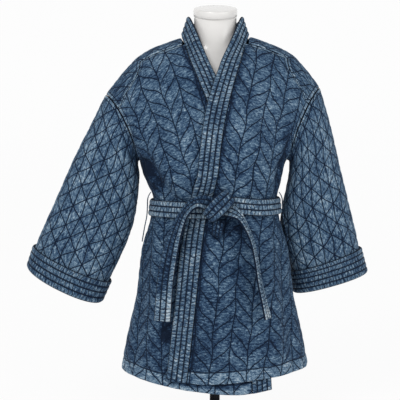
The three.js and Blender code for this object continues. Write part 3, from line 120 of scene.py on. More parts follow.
BODY = table(
    "rise left right front back",
    (-30, 233, 233, 151, 142), (0, 227, 227, 148, 138), (64, 215, 215, 142, 131), (122, 202, 202, 137, 126),
    (181, 189, 189, 132, 121), (240, 182, 182, 127, 117), (299, 174, 174, 121, 112),
    (345, 160, 160, 113, 106), (375, 152, 152, 107, 101), (400, 149, 149, 104, 99),
    (422, 147, 147, 104, 99), (446, 157, 153, 109, 103), (480, 172, 161, 116, 108),
    (505, 178, 166, 119, 111), (UNDERARM, 181, 172, 120, 112),
)
RIDGE = table(
    "out left right",
    (0, 808, 808), (60, NECK_RISE, NECK_RISE), (90, 799, 802), (150, 777, 780), (185, 756, 761),
    (220, 720, 724), (262, 668, 669),
)
OVER_EDGE = table(
    "t seam free grain",
    (-20, -68, -117, -60), (67, -57, -106, -52), (183, -44, -93, -40), (299, -32, -81, -29),
    (380, -20, -68, -18), (430, -6, -55, -8), (473, 4, -44, 0), (531, 11, -37, 11),
    (589, 19, -30, 22), (647, 31, -19, 33), (707, 47, 0, 44), (765, 64, 20, 54), (830, 76, 44, 64),
)
UNDER_EDGE = table(
    "t seam free grain",
    (-30, 84, 132, 0), (67, 79, 127, 0), (183, 70, 118, 0), (299, 60, 108, 0),
    (400, 47, 95, -3), (473, 33, 82, -18), (531, 18, 68, -35), (589, 0, 50, -53),
    (647, -20, 29, -72), (707, -44, 2, -92), (765, -65, -24, -111), (830, -76, -47, -130),
)
OVER_HEM = table(
    "p drop",
    (-140, 0), (-80, 2), (-30, 6), (30, 4), (100, -3), (150, -6), (200, -9), (260, -9),
)
UNDER_HEM = table(
    "p drop",
    (-300, 0), (-215, 2), (-160, 9), (-110, 16), (-60, 23), (50, 32), (140, 22),
)
BACK_HEM = table("p drop", (-260, 0), (60, 0), (160, -5), (230, -9), (260, -9))
FOLDS = table(
    "face p0 t0 p1 t1 wide deep",
    (FRONT, -186, 520, -96, 410, 17, -11), (FRONT, -150, 545, -72, 432, 18, 7),
    (FRONT, -205, 640, -182, 560, 17, 6), (FRONT, 196, 560, 150, 440, 18, -7),
    (FRONT, 150, 500, 110, 435, 18, 5), (FRONT, -185, 330, -205, 20, 24, -7),
    (FRONT, 165, 320, 192, 20, 26, -7), (FRONT, 100, 330, 130, 40, 26, 5),
    (BACK, -120, 350, -165, 10, 26, -8), (BACK, -25, 345, -40, 10, 28, 7),
    (BACK, 60, 350, 85, 10, 26, -8), (BACK, 150, 345, 190, 30, 24, 6),
    (BACK, -80, 430, -130, 560, 20, 6), (BACK, 40, 432, 70, 590, 20, -6),
)
# Lesser creases, from the same kind of rows.
CREASES = table(
    "face p0 t0 p1 t1 wide deep",
    (FRONT, -120, 520, -60, 425, 9, -2.4), (FRONT, -60, 500, -30, 430, 9, 2.0),
    (FRONT, 60, 520, 40, 430, 10, -2.2), (FRONT, 100, 540, 75, 432, 9, 2.0),
    (FRONT, 30, 372, 55, 250, 10, -2.4), (FRONT, 70, 372, 96, 262, 9, 2.2),
    (FRONT, -60, 372, -84, 286, 10, -2.2), (FRONT, -120, 372, -140, 240, 12, -2.8),
    (FRONT, 130, 372, 150, 270, 10, -2.4), (FRONT, -5, 372, 8, 290, 9, 2.0),
    (FRONT, 170, 640, 150, 560, 12, -2.8), (FRONT, -160, 650, -140, 590, 12, -2.6),
    (BACK, -150, 420, -170, 520, 12, -2.6), (BACK, -40, 430, -30, 560, 12, 2.4),
    (BACK, 110, 425, 140, 540, 12, -2.6), (BACK, -90, 372, -100, 250, 11, 2.6),
    (BACK, 10, 372, 20, 240, 12, -2.6), (BACK, 110, 372, 125, 260, 11, 2.4),
    (BACK, -170, 650, -120, 700, 14, -3.0), (BACK, 170, 650, 120, 700, 14, -3.0),
)
FOLD_END = 45  # over how much a fold fades at each end
FOLD_CLEAR = 34  # and beside a side seam or an armhole
FOLD_SIDEWAYS = 0.55  # folds stand out mostly front and back
YOKE_SEAM = table(
    "share out",
    (YOKE_LOW, 0.85), (0.7, 0.81), (0.75, 0.755), (0.8, 0.71), (0.85, 0.683), (YOKE_TOP, 0.672),
)
NECK = table("along half", (0, 46), (18, 66), (36, 76), (54, 81), (72, 83), (130, 79))
BAND_NECK = table(
    "seam_x seam_y seam_rise free_x free_y free_rise",
    (69, -50, 777, 42, -60, 810), (77, -22, 804, 57, -30, 846), (78, 8, 809, 63, 0, 856),
    (73, 38, 797, 57, 31, 849), (46, 60, 782.5, 37, 53, 837), (0, 64, 782.5, 0, 61, 834),
)
SLEEVE_COLUMNS = "out_x out_rise in_x in_rise y deep hang"
SLEEVES = [
    table(
        SLEEVE_COLUMNS,
        (-262, 668, -181, 517, 0, 58, 0), (-274, 645, -192, 505, 0, 58, 0),
        (-297, 598, -189, 468, -2, 57, 0), (-323, 548, -192, 428, -4, 56, 0),
        (-348, 496, -197, 390, -6, 56, 0), (-372, 442, -206, 350, -8, 57, 0),
        (-395, 390, -221, 308, -10, 58, 0), (-416, 345, -241, 263, -11, 60, 2),
        (-434, 302, -262, 220, -12, 62, 6), (-451, 252, -285, 170, -13, 63, 12),
    ),
    table(
        SLEEVE_COLUMNS,
        (250, 684, 172, 517, 0, 58, 0), (259, 657, 186, 508, 3, 58, 0), (276, 604, 186, 473, 12, 58, 0),
        (292, 546, 179, 430, 22, 59, 0), (308, 486, 171, 386, 34, 60, 0), (324, 430, 169, 344, 45, 61, 0),
        (339, 376, 176, 303, 55, 62, 0), (352, 330, 188, 266, 63, 63, 0), (362, 288, 198, 232, 69, 63, 0),
        (380, 224, 211, 174, 74, 63, 0),
    ),
]
STRAP_COLUMNS = "x y rise turn swing width"
LEFT_TAIL = table(
    STRAP_COLUMNS,
    (-1, -132, 405, -122, 3, 33), (-21, -134, 415, -112, 12, 35), (-46, -139, 414, -70, 52, 36),
    (-67, -142, 397, -45, 58, 37), (-82, -140, 370, -25, 52, 38), (-97, -139, 328, -12, 38, 39),
    (-108, -140, 283, -6, 22, 39), (-117, -143, 230, -3, 10, 39), (-124, -147, 142, -3, 4, 39),
)
RIGHT_TAIL = table(
    STRAP_COLUMNS,
    (13, -130, 401, 68, -3, 32), (33, -138, 396, 60, -34, 35), (54, -144, 381, 48, -66, 37),
    (70, -147, 353, 28, -76, 38), (82, -149, 322, 15, -78, 38), (91, -151, 280, 10, -77, 38),
    (98, -153, 235, 8, -75, 38), (108, -157, 190, 10, -72, 38), (117, -161, 150, 12, -68, 38),
)
KNOT_WRAP = table(
    STRAP_COLUMNS,
    (31, -131, 431, -46, 0, 36), (25, -145, 426, -46, 0, 39), (12, -154, 414, -46, 0, 42),
    (-3, -155, 399, -46, 0, 41), (-13, -146, 388, -46, 0, 36), (-19, -133, 383, -46, 0, 31),
)
KNOT_END = table(
    STRAP_COLUMNS,
    (7, -130, 374, 0, -6, 24), (5, -134, 360, -3, -10, 26), (1, -135, 338, 6, -14, 22),
)
LOOP_LINE = table(
    "rise out",
    (310, 178), (345, 172), (372, 166.5), (396, 164.8), (414, 164), (424, 161), (432, 156),
)
FORM = table(
    "rise half front back lean tilt",
    (150, 128, 86, 84, 0, 0), (156, 136, 93, 91, 0, 0), (230, 150, 97, 97, 0, 0), (300, 146, 92, 95, 0, 0),
    (400, 120, 82, 80, 0, 0), (470, 128, 88, 84, 0, 0), (560, 146, 100, 92, 0, 0), (640, 158, 96, 86, 0, 0),
    (700, 166, 80, 68, 0, 0), (735, 162, 66, 56, 0, 0), (758, 142, 57, 50, 0, 2), (777, 98, 52, 48, -2, 5),
    (792, 66, 50, 49, -4, 8), (810, 54, 49, 49, -8, 11), (838, 51, 48, 48, -14, 15),
    (856, 51, 48, 48, -19, 17),
)


# ---- Small tools ----
def lerp(a, b, share):
    return a + (b - a) * share


def smoothstep(x, low, high):
    share = np.clip((x - low) / (high - low), 0, 1)
    return share * share * (3 - 2 * share)


def unit(vectors):
    return vectors / np.maximum(np.linalg.norm(vectors, axis=-1, keepdims=True), 1e-9)


def evenly(start, end, step):
    return np.linspace(start, end, int(round(abs(end - start) / step)) + 1)


def hermite(first, second, leaving, arriving, span, s):
    """A smooth way from one value to the next, by the slope at each."""
    rest = 1 - s
    curve = first * rest**2 * (1 + 2 * s) + leaving * span * s * rest**2
    return curve + second * s**2 * (3 - 2 * s) - arriving * span * s**2 * rest


def neighbours(count):
    order = np.arange(count)
    return np.maximum(order - 1, 0), np.minimum(order + 1, count - 1)


def through(rows, key, column):
    """A smooth curve through one column of a table, straight on beyond its ends."""
    at = np.array([row[key] for row in rows], float)
    value = np.array([row[column] for row in rows], float)
    last = len(at) - 1
    before, after = neighbours(last + 1)
    slope = (value[after] - value[before]) / (at[after] - at[before])

    def curve(x):
        x = np.asarray(x, float)
        i = np.clip(np.searchsorted(at, x) - 1, 0, last - 1)
        span = at[i + 1] - at[i]
        inside = hermite(value[i], value[i + 1], slope[i], slope[i + 1], span, (x - at[i]) / span)
        below = value[0] + slope[0] * (x - at[0])
        above = value[last] + slope[last] * (x - at[last])
        return np.where(x <= at[0], below, np.where(x >= at[last], above, inside))

    return curve


def rows_through(rows):
    """The same, by row number, for every column of a table."""
    numbered = [dict(row, number=i) for i, row in enumerate(rows)]
    return {name: through(numbered, "number", name) for name in rows[0]}


def lengths(points):
    """The distance gone along each line of points."""
    steps = np.linalg.norm(np.diff(points, axis=-2), axis=-1)
    return np.concatenate([np.zeros(steps.shape[:-1] + (1,)), np.cumsum(steps, -1)], -1)


def stacked(*parts):
    return np.stack(np.broadcast_arrays(*parts), -1)


def spread(p, t):
    """Both as arrays of one shape, and the side that each place is on."""
    p, t = np.broadcast_arrays(np.asarray(p, float), np.asarray(t, float))
    return p, t, (p >= 0).astype(int)


# ---- The cloth's surface ----
left_half, right_half = through(BODY, "rise", "left"), through(BODY, "rise", "right")
body_deep = {FRONT: through(BODY, "rise", "front"), BACK: through(BODY, "rise", "back")}
ridge_rise = [through(RIDGE, "out", "left"), through(RIDGE, "out", "right")]

DOME_SHARES = np.linspace(0, 1, 241)


def dome_lengths(face):
    """The distance along the cloth from the underarm up to the shoulder line."""
    angle = DOME_SHARES * QUARTER
    deep = body_deep[face](UNDERARM) * np.clip(np.cos(angle), 0, 1) ** (2 / DOME)
    return lengths(stacked(0, deep, (NECK_RISE - UNDERARM) * np.sin(angle) ** (2 / DOME)))


DOME_LENGTHS = {face: dome_lengths(face) for face in (FRONT, BACK)}
SHOULDER_T = {face: UNDERARM + DOME_LENGTHS[face][-1] for face in (FRONT, BACK)}


def share_up(face, t):
    """How far up t is between underarm and shoulder line, as a share of the height."""
    share = np.interp(t - UNDERARM, DOME_LENGTHS[face], DOME_SHARES)
    return np.sin(share * QUARTER) ** (2 / DOME)


def height_along(face, share):
    angle = np.arcsin(share ** (DOME / 2))
    return UNDERARM + np.interp(angle / QUARTER, DOME_SHARES, DOME_LENGTHS[face])


def body_half(side, t):
    """Half the body's width on one side, as seen from the front."""
    return np.where(np.asarray(side) == LEFT, left_half(t), right_half(t))


def row_point(face, side, t, u):
    """A point of the row at t, from the centre line (u 0) to the side seam or armhole (u 1)."""
    reach = np.sin(u * QUARTER) ** (2 / ROUNDNESS)
    fall = np.clip(np.cos(u * QUARTER), 0, 1) ** 2
    share = share_up(face, t)
    low = t <= UNDERARM
    shoulder = lerp(body_half(side, UNDERARM), SHOULDER_END[side], share)
    x = np.where(low, body_half(side, t), shoulder) * reach
    centre = body_deep[face](UNDERARM) * np.clip(1 - share**DOME, 0, 1) ** (1 / DOME)
    edge = ARMHOLE_DEEP * 2 * np.sqrt(np.clip(share * (1 - share), 0, 1))
    flat = lerp(1 / ROUNDNESS, 1, smoothstep(share, 0, SHOULDER_FLATTENS))
    deep_low = body_deep[face](t) * fall ** (1 / ROUNDNESS)
    deep = np.where(low, deep_low, edge + (centre - edge) * fall**flat)
    ridge = np.where(np.asarray(side) == LEFT, ridge_rise[LEFT](x), ridge_rise[RIGHT](x))
    rise = np.where(low, t, UNDERARM + (ridge - UNDERARM) * share)
    return stacked((2 * np.asarray(side) - 1) * x, face * deep, HEM_Z + rise)


ROW_STEP = 3.0
ROW_T = np.arange(-60, max(SHOULDER_T.values()) + ROW_STEP, ROW_STEP)
ROW_SHARES = np.linspace(0, 1, 65)


def measured_rows(face):
    """How long each row is on both sides, and where even steps along it fall."""
    gone = [lengths(row_point(face, side, ROW_T[:, None], ROW_SHARES[None, :])) for side in (LEFT, RIGHT)]
    places = [[np.interp(ROW_SHARES, row / row[-1], ROW_SHARES) for row in rows] for rows in gone]
    return np.array([rows[:, -1] for rows in gone]), np.array(places)


ROWS = {face: measured_rows(face) for face in (FRONT, BACK)}


def row_number(t):
    place = np.clip((t - ROW_T[0]) / ROW_STEP, 0, len(ROW_T) - 1.001)
    first = place.astype(int)
    return first, place - first


def reach_across(face, side, t):
    """How far across the side seam or armhole is."""
    first, part = row_number(np.asarray(t, float))
    reach = ROWS[face][0]
    return lerp(reach[side, first], reach[side, first + 1], part)


def u_across(face, side, p, t):
    """Where a distance across falls on its row, from 0 at the centre line to 1."""
    first, part = row_number(t)
    share = np.clip(np.abs(p) / reach_across(face, side, t), 0, 1) * (len(ROW_SHARES) - 1)
    cell = np.minimum(share.astype(int), len(ROW_SHARES) - 2)
    rest = share - cell
    place = ROWS[face][1]
    low = lerp(place[side, first, cell], place[side, first, cell + 1], rest)
    high = lerp(place[side, first + 1, cell], place[side, first + 1, cell + 1], rest)
    return lerp(low, high, part)


def across_at(face, side, t, x):
    """The distance across at which a row reaches x."""
    share = share_up(face, t)
    shoulder = lerp(body_half(side, UNDERARM), SHOULDER_END[side], share)
    end = np.where(t <= UNDERARM, body_half(side, t), shoulder)
    u = np.arcsin(np.clip(np.abs(x) / end, 0, 1) ** (ROUNDNESS / 2)) / QUARTER
    first, part = row_number(t)
    place = ROWS[face][1][side]
    found = [
        np.interp(u_one, lerp(place[i], place[i + 1], f), ROW_SHARES)
        for u_one, i, f in zip(np.ravel(u), np.ravel(first), np.ravel(part))
    ]
    return np.reshape(found, np.shape(u)) * reach_across(face, side, t)


def fold_height(face, p, t, edge):
    """Folds are soft ridges and troughs along lines on the cloth."""
    total = np.zeros(np.shape(p))
    for fold in (fold for fold in FOLDS + CREASES if fold["face"] == face):
        dp, dt = fold["p1"] - fold["p0"], fold["t1"] - fold["t0"]
        long = math.hypot(dp, dt)
        gone = ((p - fold["p0"]) * dp + (t - fold["t0"]) * dt) / long
        off = ((p - fold["p0"]) * dt - (t - fold["t0"]) * dp) / long
        ends = smoothstep(gone, -FOLD_END / 2, FOLD_END)
        ends = ends * (1 - smoothstep(gone, long - FOLD_END, long + FOLD_END / 2))
        total = total + fold["deep"] * ends * np.exp(-((off / fold["wide"]) ** 2))
    return total * smoothstep(edge - np.abs(p), 0, FOLD_CLEAR)


def cloth_point(face, p, t):
    """The inside of the cloth. Past the shoulder line the back comes down the front."""
    p, t, side = spread(p, t)
    over = (face == BACK) & (t > SHOULDER_T[BACK])
    if over.any():
        on_front = np.where(over, SHOULDER_T[FRONT] - (t - SHOULDER_T[BACK]), 0)
        down = cloth_point(FRONT, p, on_front)
        up = cloth_point(BACK, p, np.minimum(t, SHOULDER_T[BACK]))
        return np.where(over[..., None], down, up)
    point = row_point(face, side, t, u_across(face, side, p, t))
    outward = unit(stacked(point[..., 0] * FOLD_SIDEWAYS, point[..., 1], 0))
    return point + outward * fold_height(face, p, t, reach_across(face, side, t))[..., None]


def surface_normal(face, p, t):
    step = 2
    across = cloth_point(face, p + step, t) - cloth_point(face, p - step, t)
    up = cloth_point(face, p, t + step) - cloth_point(face, p, t - step)
    return unit(np.cross(across, up)) * -face


# ---- The sleeves' surface ----
sleeve_rows = [rows_through(rows) for rows in SLEEVES]


def armhole_point(side, angle):
    """The armhole's edge at an angle round the sleeve, 0 at the shoulder and the front at a quarter turn."""
    share = np.clip((1 + np.cos(angle)) / 2, 0, 1)
    places = []
    for face in (FRONT, BACK):
        t = np.minimum(height_along(face, share), SHOULDER_T[face])
        places.append(row_point(face, side, t, np.ones_like(share)))
    return np.where((np.sin(angle) >= 0)[..., None], *places)


def rounded(value):
    return np.sign(value) * np.abs(value) ** (2 / SLEEVE_ROUND)


def sleeve_point(side, angle, section):
    angle, section = np.broadcast_arrays(np.asarray(angle, float), np.asarray(section, float))
    at = {name: curve(section) for name, curve in sleeve_rows[side].items()}
    start = {name: curve(0) for name, curve in sleeve_rows[side].items()}
    cos, sin = np.cos(angle), np.sin(angle)
    wide = (1 + rounded(cos)) / 2
    deep = rounded(sin)
    own = stacked(
        lerp(at["in_x"], at["out_x"], wide),
        at["y"] - at["deep"] * deep,
        HEM_Z + lerp(at["in_rise"], at["out_rise"], wide) - at["hang"] * np.maximum(deep, 0),
    )
    level = (1 + cos) / 2
    moved = armhole_point(side, angle) + stacked(
        lerp(at["in_x"] - start["in_x"], at["out_x"] - start["out_x"], level),
        at["y"],
        lerp(at["in_rise"] - start["in_rise"], at["out_rise"] - start["out_rise"], level),
    )
    return lerp(moved, own, smoothstep(section, 0, SLEEVE_BLEND)[..., None])


def sleeve_normal(side, angle, section):
    turn, step = 0.02, 0.03
    start = np.maximum(section, step)
    around = sleeve_point(side, angle + turn, start) - sleeve_point(side, angle - turn, start)
    along = sleeve_point(side, angle, start + step) - sleeve_point(side, angle, start - step)
    return unit(np.cross(around, along)) * (1 if side == RIGHT else -1)


SEAM_ANGLES = np.linspace(-math.pi, math.pi, 181)
SEAM_MITRE = {"down": 2, "in": 3, "section": 0.35, "longest": 1.8}


def mitre(side):
    """Round an armhole, the way through the cloth that halves its corner, and how much longer it is."""
    share = np.clip((1 + np.cos(SEAM_ANGLES)) / 2, 0, 1)
    normals = []
    for face in (FRONT, BACK):
        t = np.minimum(height_along(face, share), SHOULDER_T[face] - SEAM_MITRE["down"])
        p = (2 * side - 1) * (reach_across(face, side, t) - SEAM_MITRE["in"])
        normals.append(surface_normal(face, p, t))
    body = np.where((np.sin(SEAM_ANGLES) >= 0)[:, None], *normals)
    section = np.full(SEAM_ANGLES.shape, SEAM_MITRE["section"])
    middle = unit(body + sleeve_normal(side, SEAM_ANGLES, section))
    longer = np.minimum(SEAM_MITRE["longest"], 1 / np.maximum((middle * body).sum(-1), 0.01))
    return np.concatenate([middle, longer[:, None]], 1)


MITRES = [mitre(side) for side in (LEFT, RIGHT)]


def seam_outward(side, angle):
    """At the armhole, body and sleeve share the way through the cloth."""
    both = [stacked(*(np.interp(angle, SEAM_ANGLES, column) for column in made.T)) for made in MITRES]
    found = np.where((np.asarray(side) == LEFT)[..., None], *both)
    return unit(found[..., :3]), found[..., 3]


def outward_at(face, p, t):
    """The way through the cloth at a place on the body, and how much longer it is near an armhole."""
    p, t, side = spread(p, t)
    over = (face == BACK) & (t > SHOULDER_T[BACK])
    real_t = np.where(over, SHOULDER_T[FRONT] - (t - SHOULDER_T[BACK]), t)
    on_front = over | (face == FRONT)
    normal = surface_normal(face, p, t)
    reach = np.where(on_front, reach_across(FRONT, side, real_t), reach_across(BACK, side, real_t))
    distance = np.hypot(np.maximum(reach - np.abs(p), 0), np.maximum(UNDERARM - real_t, 0))
    share = np.where(on_front, share_up(FRONT, real_t), share_up(BACK, real_t))
    angle = np.arccos(np.clip(2 * share - 1, -1, 1)) * np.where(on_front, 1, -1)
    middle, longer = seam_outward(side, angle)
    weight = np.clip(1 - distance / ARMHOLE_TURN, 0, 1) ** 2
    return unit(lerp(normal, middle, weight[..., None])), lerp(1, longer, weight)


# ---- The quilting ----
def ping_pong(value, scale):
    """0 at every even multiple of scale and scale at every odd one."""
    return np.abs(np.mod(value + scale, 2 * scale) - scale)


def leaf_distance(across, up):
    """The distance to the nearest stitched line of the leaves, in millimetres."""
    spine = ping_pong(across, LEAF_HALF)
    share = spine / LEAF_HALF
    fall = LEAF_DROP * (share + LEAF_HOOK / (2 * math.pi) * np.sin(2 * math.pi * share))
    shift = LEAF_SHIFT * np.round(across / (2 * LEAF_HALF))
    vein = ping_pong((up + fall) / LEAF_PITCH + shift, 0.5) * LEAF_PITCH * LEAF_SLANT
    return np.minimum(np.minimum(spine, LEAF_HALF - spine), vein)


def grid_distance(across, up):
    """The same for the triangle grid."""
    straight = ping_pong(up, GRID_LINES / 2)
    rising = ping_pong(across + up, GRID_CROSS / 2)
    falling = ping_pong(across - up, GRID_CROSS / 2)
    return np.minimum(straight, np.minimum(rising, falling) * math.sqrt(0.5))


WANDER = table("by across up shift", (1.7, 0.031, 0.047, 1.0), (1.0, -0.061, 0.083, 2.1))
WANDER_START = {"over": 0.7, "under": 2.2, "back": 3.0, "sleeve": 5.0}


def wobble(across, up, seed):
    """Quilting is sewn by eye: its lines wander a little."""
    waves = [w["by"] * np.sin(across * w["across"] + up * w["up"] + w["shift"] * seed) for w in WANDER]
    return sum(waves)


def swelling(distance):
    """How far a patch stands out at a distance from its stitches."""
    furrow = np.exp(-((distance / FURROW_WIDE) ** 2))
    return PUFF * (1 - np.exp(-((distance / SWELL_WIDE) ** 2))) - GROOVE * furrow


def hem_furrow(t):
    return HEM_FURROW["deep"] * np.exp(-(((t - HEM_STITCH) / HEM_FURROW["wide"]) ** 2))


def pinched(border, relief):
    return relief - TURNED_EDGE["deep"] * (1 - smoothstep(border, 0, TURNED_EDGE["wide"]))


# ---- Meshes ----
def placed(name, data):
    made = bpy.data.objects.new(name, data)
    bpy.context.scene.collection.objects.link(made)
    return made


def piece_from(name, points, faces, material):
    """A mesh object from points in millimetres and faces of four corners."""
    mesh = bpy.data.meshes.new(name)
    mesh.vertices.add(len(points))
    mesh.vertices.foreach_set("co", (points * MM).astype(np.float32).ravel())
    mesh.loops.add(faces.size)
    mesh.loops.foreach_set("vertex_index", faces.astype(np.int32).ravel())
    mesh.polygons.add(len(faces))
    mesh.polygons.foreach_set("loop_start", np.arange(0, faces.size, faces.shape[1], dtype=np.int32))
    mesh.update(calc_edges=True)
    mesh.polygons.foreach_set("use_smooth", np.ones(len(faces), bool))
    mesh.materials.append(material)
    return placed(name, mesh)


def smooth_piece(name, points, faces, material):
    """The same from lists, with points in metres and faces of any count of corners."""
    mesh = bpy.data.meshes.new(name)
    mesh.from_pydata(points, [], faces)
    mesh.polygons.foreach_set("use_smooth", [True] * len(faces))
    mesh.materials.append(material)
    return placed(name, mesh)


def grid_faces(ids):
    return np.stack([ids[:-1, :-1], ids[:-1, 1:], ids[1:, 1:], ids[1:, :-1]], -1).reshape(-1, 4)


def cloth_wall(name, inner, outer, pattern, marks, material, wrap=False, present=None):
    """A closed wall between two grids of points. pattern is its UV map and marks its point attributes."""
    rows, columns = outer.shape[:2]
    count = rows * columns
    ids = np.arange(count).reshape(rows, columns)
    corner = ids.copy()
    if wrap:
        corner[:, -1] = corner[:, 0]
    faces, places = grid_faces(corner), grid_faces(ids)
    if present is not None:
        faces, places = faces[present.ravel()], places[present.ravel()]
    flat_outer, flat_inner = outer.reshape(-1, 3), inner.reshape(-1, 3)
    a, b, c = (flat_outer[faces[:, k]] for k in range(3))
    through_cloth = flat_outer[faces[:, 0]] - flat_inner[faces[:, 0]]
    if (np.cross(b - a, c - a) * through_cloth).sum() < 0:
        faces, places = faces[:, ::-1], places[:, ::-1]
    start, end = faces.ravel(), np.roll(faces, -1, axis=1).ravel()
    open_edge = ~np.isin(start * count + end, end * count + start)
    start, end = start[open_edge], end[open_edge]
    place_start = places.ravel()[open_edge]
    place_end = np.roll(places, -1, axis=1).ravel()[open_edge]
    sides = np.stack([end, start, start + count, end + count], 1)
    side_places = np.stack([place_end, place_start, place_start, place_end], 1)
    all_faces = np.concatenate([faces, faces[:, ::-1] + count, sides])
    all_places = np.concatenate([places, places[:, ::-1], side_places])
    used, renumbered = np.unique(all_faces, return_inverse=True)
    points = np.concatenate([flat_outer, flat_inner])[used]
    made = piece_from(name, points, renumbered.reshape(all_faces.shape), material)
    uv = made.data.uv_layers.new(name="cloth")
    uv.data.foreach_set("uv", (pattern.reshape(-1, 2)[all_places.ravel()] * MM).astype(np.float32).ravel())
    inside = np.repeat([0.0, 1.0], count)[used]
    for mark, values in {**marks, "inside": None}.items():
        layer = made.data.attributes.new(mark, "FLOAT", "POINT")
        both = inside if values is None else np.tile(np.broadcast_to(values, ids.shape).ravel(), 2)[used]
        layer.data.foreach_set("value", both.astype(np.float32))
    return made


# ---- Materials ----
def colour(hex_value):
    """An sRGB hex value as linear RGBA."""
    parts = [(hex_value >> shift & 255) / 255 for shift in (16, 8, 0)]
    return [c / 12.92 if c <= 0.04045 else ((c + 0.055) / 1.055) ** 2.4 for c in parts] + [1.0]


def add(tree, kind, links=(), **settings):
    """Adds a node with its settings. links gives its sockets a value or another node's output."""
    made = tree.nodes.new(kind)
    for name, value in settings.items():
        setattr(made, name, value)
    for socket, value in dict(links).items():
        if isinstance(value, bpy.types.NodeSocket):
            tree.links.new(value, made.inputs[socket])
        else:
            made.inputs[socket].default_value = value
    return made


def new_material(name):
    material = bpy.data.materials.new(name)
    material.use_nodes = True
    tree = material.node_tree
    tree.nodes.clear()
    return material, tree


def sums(tree, known, steps):
    """Works out values one after another: each step names its result, its sum and what goes in."""
    for name, operation, *values in steps:
        links = {i: known.get(v, v) if isinstance(v, str) else v for i, v in enumerate(values)}
        clamp = name.endswith("_share")
        known[name] = add(tree, "ShaderNodeMath", links, operation=operation, use_clamp=clamp).outputs[0]
    return known


LEAF_STEPS = [
    ("spine", "PINGPONG", "across", LEAF_HALF * MM),
    ("part", "DIVIDE", "spine", LEAF_HALF * MM),
    ("turn", "MULTIPLY", "part", 2 * math.pi),
    ("wave", "SINE", "turn"),
    ("hooked", "MULTIPLY_ADD", "wave", LEAF_HOOK / (2 * math.pi), "part"),
    ("fallen", "MULTIPLY_ADD", "hooked", LEAF_DROP * MM, "up"),
    ("leaf", "DIVIDE", "across", 2 * LEAF_HALF * MM),
    ("leaf_number", "ROUND", "leaf"),
    ("shift", "MULTIPLY", "leaf_number", LEAF_SHIFT),
    ("count", "MULTIPLY_ADD", "fallen", 1 / (LEAF_PITCH * MM), "shift"),
    ("near", "PINGPONG", "count", 0.5),
    ("vein", "MULTIPLY", "near", LEAF_PITCH * MM * LEAF_SLANT),
    ("valley", "SUBTRACT", LEAF_HALF * MM, "spine"),
    ("spines", "MINIMUM", "spine", "valley"),
    ("distance", "MINIMUM", "spines", "vein"),
]
GRID_STEPS = [
    ("straight", "PINGPONG", "up", GRID_LINES * MM / 2),
    ("sum", "ADD", "across", "up"),
    ("difference", "SUBTRACT", "across", "up"),
    ("rising", "PINGPONG", "sum", GRID_CROSS * MM / 2),
    ("falling", "PINGPONG", "difference", GRID_CROSS * MM / 2),
    ("diagonal", "MINIMUM", "rising", "falling"),
    ("slanted", "MULTIPLY", "diagonal", math.sqrt(0.5)),
    ("distance", "MINIMUM", "straight", "slanted"),
]


def channel_steps(wide, channels):
    """The distance to the nearest row of stitches on a band."""
    return [
        ("distance", "PINGPONG", "up", wide * MM / channels / 2),
        ("far_edge", "SUBTRACT", wide * MM, "up"),
        ("rim", "MINIMUM", "up", "far_edge"),
    ]


INDIGO = {"deep": 0x08172B, "dark": 0x223A57, "middle": 0x4C667E, "light": 0x8097AA, "worn": 0xAEBCC6}
DYE_STOPS = {"deep": 0.0, "dark": 0.28, "middle": 0.55, "light": 0.82, "worn": 1.0}
NOISE_COLUMNS = "name long thick detail roughness distortion"
# Slubs, threads drawn twice as coarse as real ones so that they show, flecks and clouds of the stone-washing.
NOISES = table(
    NOISE_COLUMNS,
    ("slub", 8.5, 3.8, 3.0, 0.65, 0.35), ("weave", 3.0, 1.3, 2.0, 0.6, 0.0),
    ("fleck", 14.0, 4.0, 4.0, 0.7, 0.6), ("cloud", 55.0, 40.0, 2.0, 0.5, 0.0),
)
# Flecks lie across a band, where its channels pucker.
BAND_NOISES = table(
    NOISE_COLUMNS, ("slub", 3.2, 9.0, 2.5, 0.6, 0.3), ("fleck", 6.0, 16.0, 3.0, 0.65, 0.4),
)
STITCH_LINE = 0.8  # half the width of a stitched furrow
BAND_LINE = 1.15  # and of one on a band
SWELL_SHOWN = 9  # how far off its stitches a patch is palest
HEM_FADE = 3  # over how much the cloth below the hem's stitches turns pale
SEAM_ROW = {"every": 4, "within": 10, "wide": 0.9, "paled": 9}  # topstitching beside a seam
PUCKER = {"apart": 9.0, "wide": 0.8, "wander": 30}  # creases that cross a band's channels
RIM_RUB = 2.5  # a band's rims are rubbed pale
FURROW_STEPS = [
    ("swell_share", "MULTIPLY", "distance", 1 / (SWELL_SHOWN * MM)),
    ("hem_off", "SUBTRACT", "hem", HEM_STITCH * MM),
    ("hem_gap", "ABSOLUTE", "hem_off"),
    ("hem_line_share", "MULTIPLY_ADD", "hem_gap", -1 / (STITCH_LINE * MM), 2.0),
    ("below_share", "MULTIPLY_ADD", "hem", -1 / (HEM_FADE * MM), HEM_STITCH / HEM_FADE),
    ("seam_gap", "PINGPONG", "seam", SEAM_ROW["every"] * MM),
    ("seam_near", "LESS_THAN", "seam", SEAM_ROW["within"] * MM),
    ("seam_line", "MULTIPLY_ADD", "seam_gap", -1 / (SEAM_ROW["wide"] * MM), 1.7),
    ("seam_cut", "MULTIPLY", "seam_line", "seam_near"),
    ("seam_line_share", "MULTIPLY", "seam_cut", 0.9),
    ("seam_rub", "MULTIPLY_ADD", "seam", -1 / (SEAM_ROW["paled"] * MM), 1.1),
    ("seam_rub_share", "MULTIPLY", "seam_rub", 0.8),
    ("lines", "MAXIMUM", "furrow_share", "hem_line_share"),
    ("dark_share", "MAXIMUM", "lines", "seam_line_share"),
]
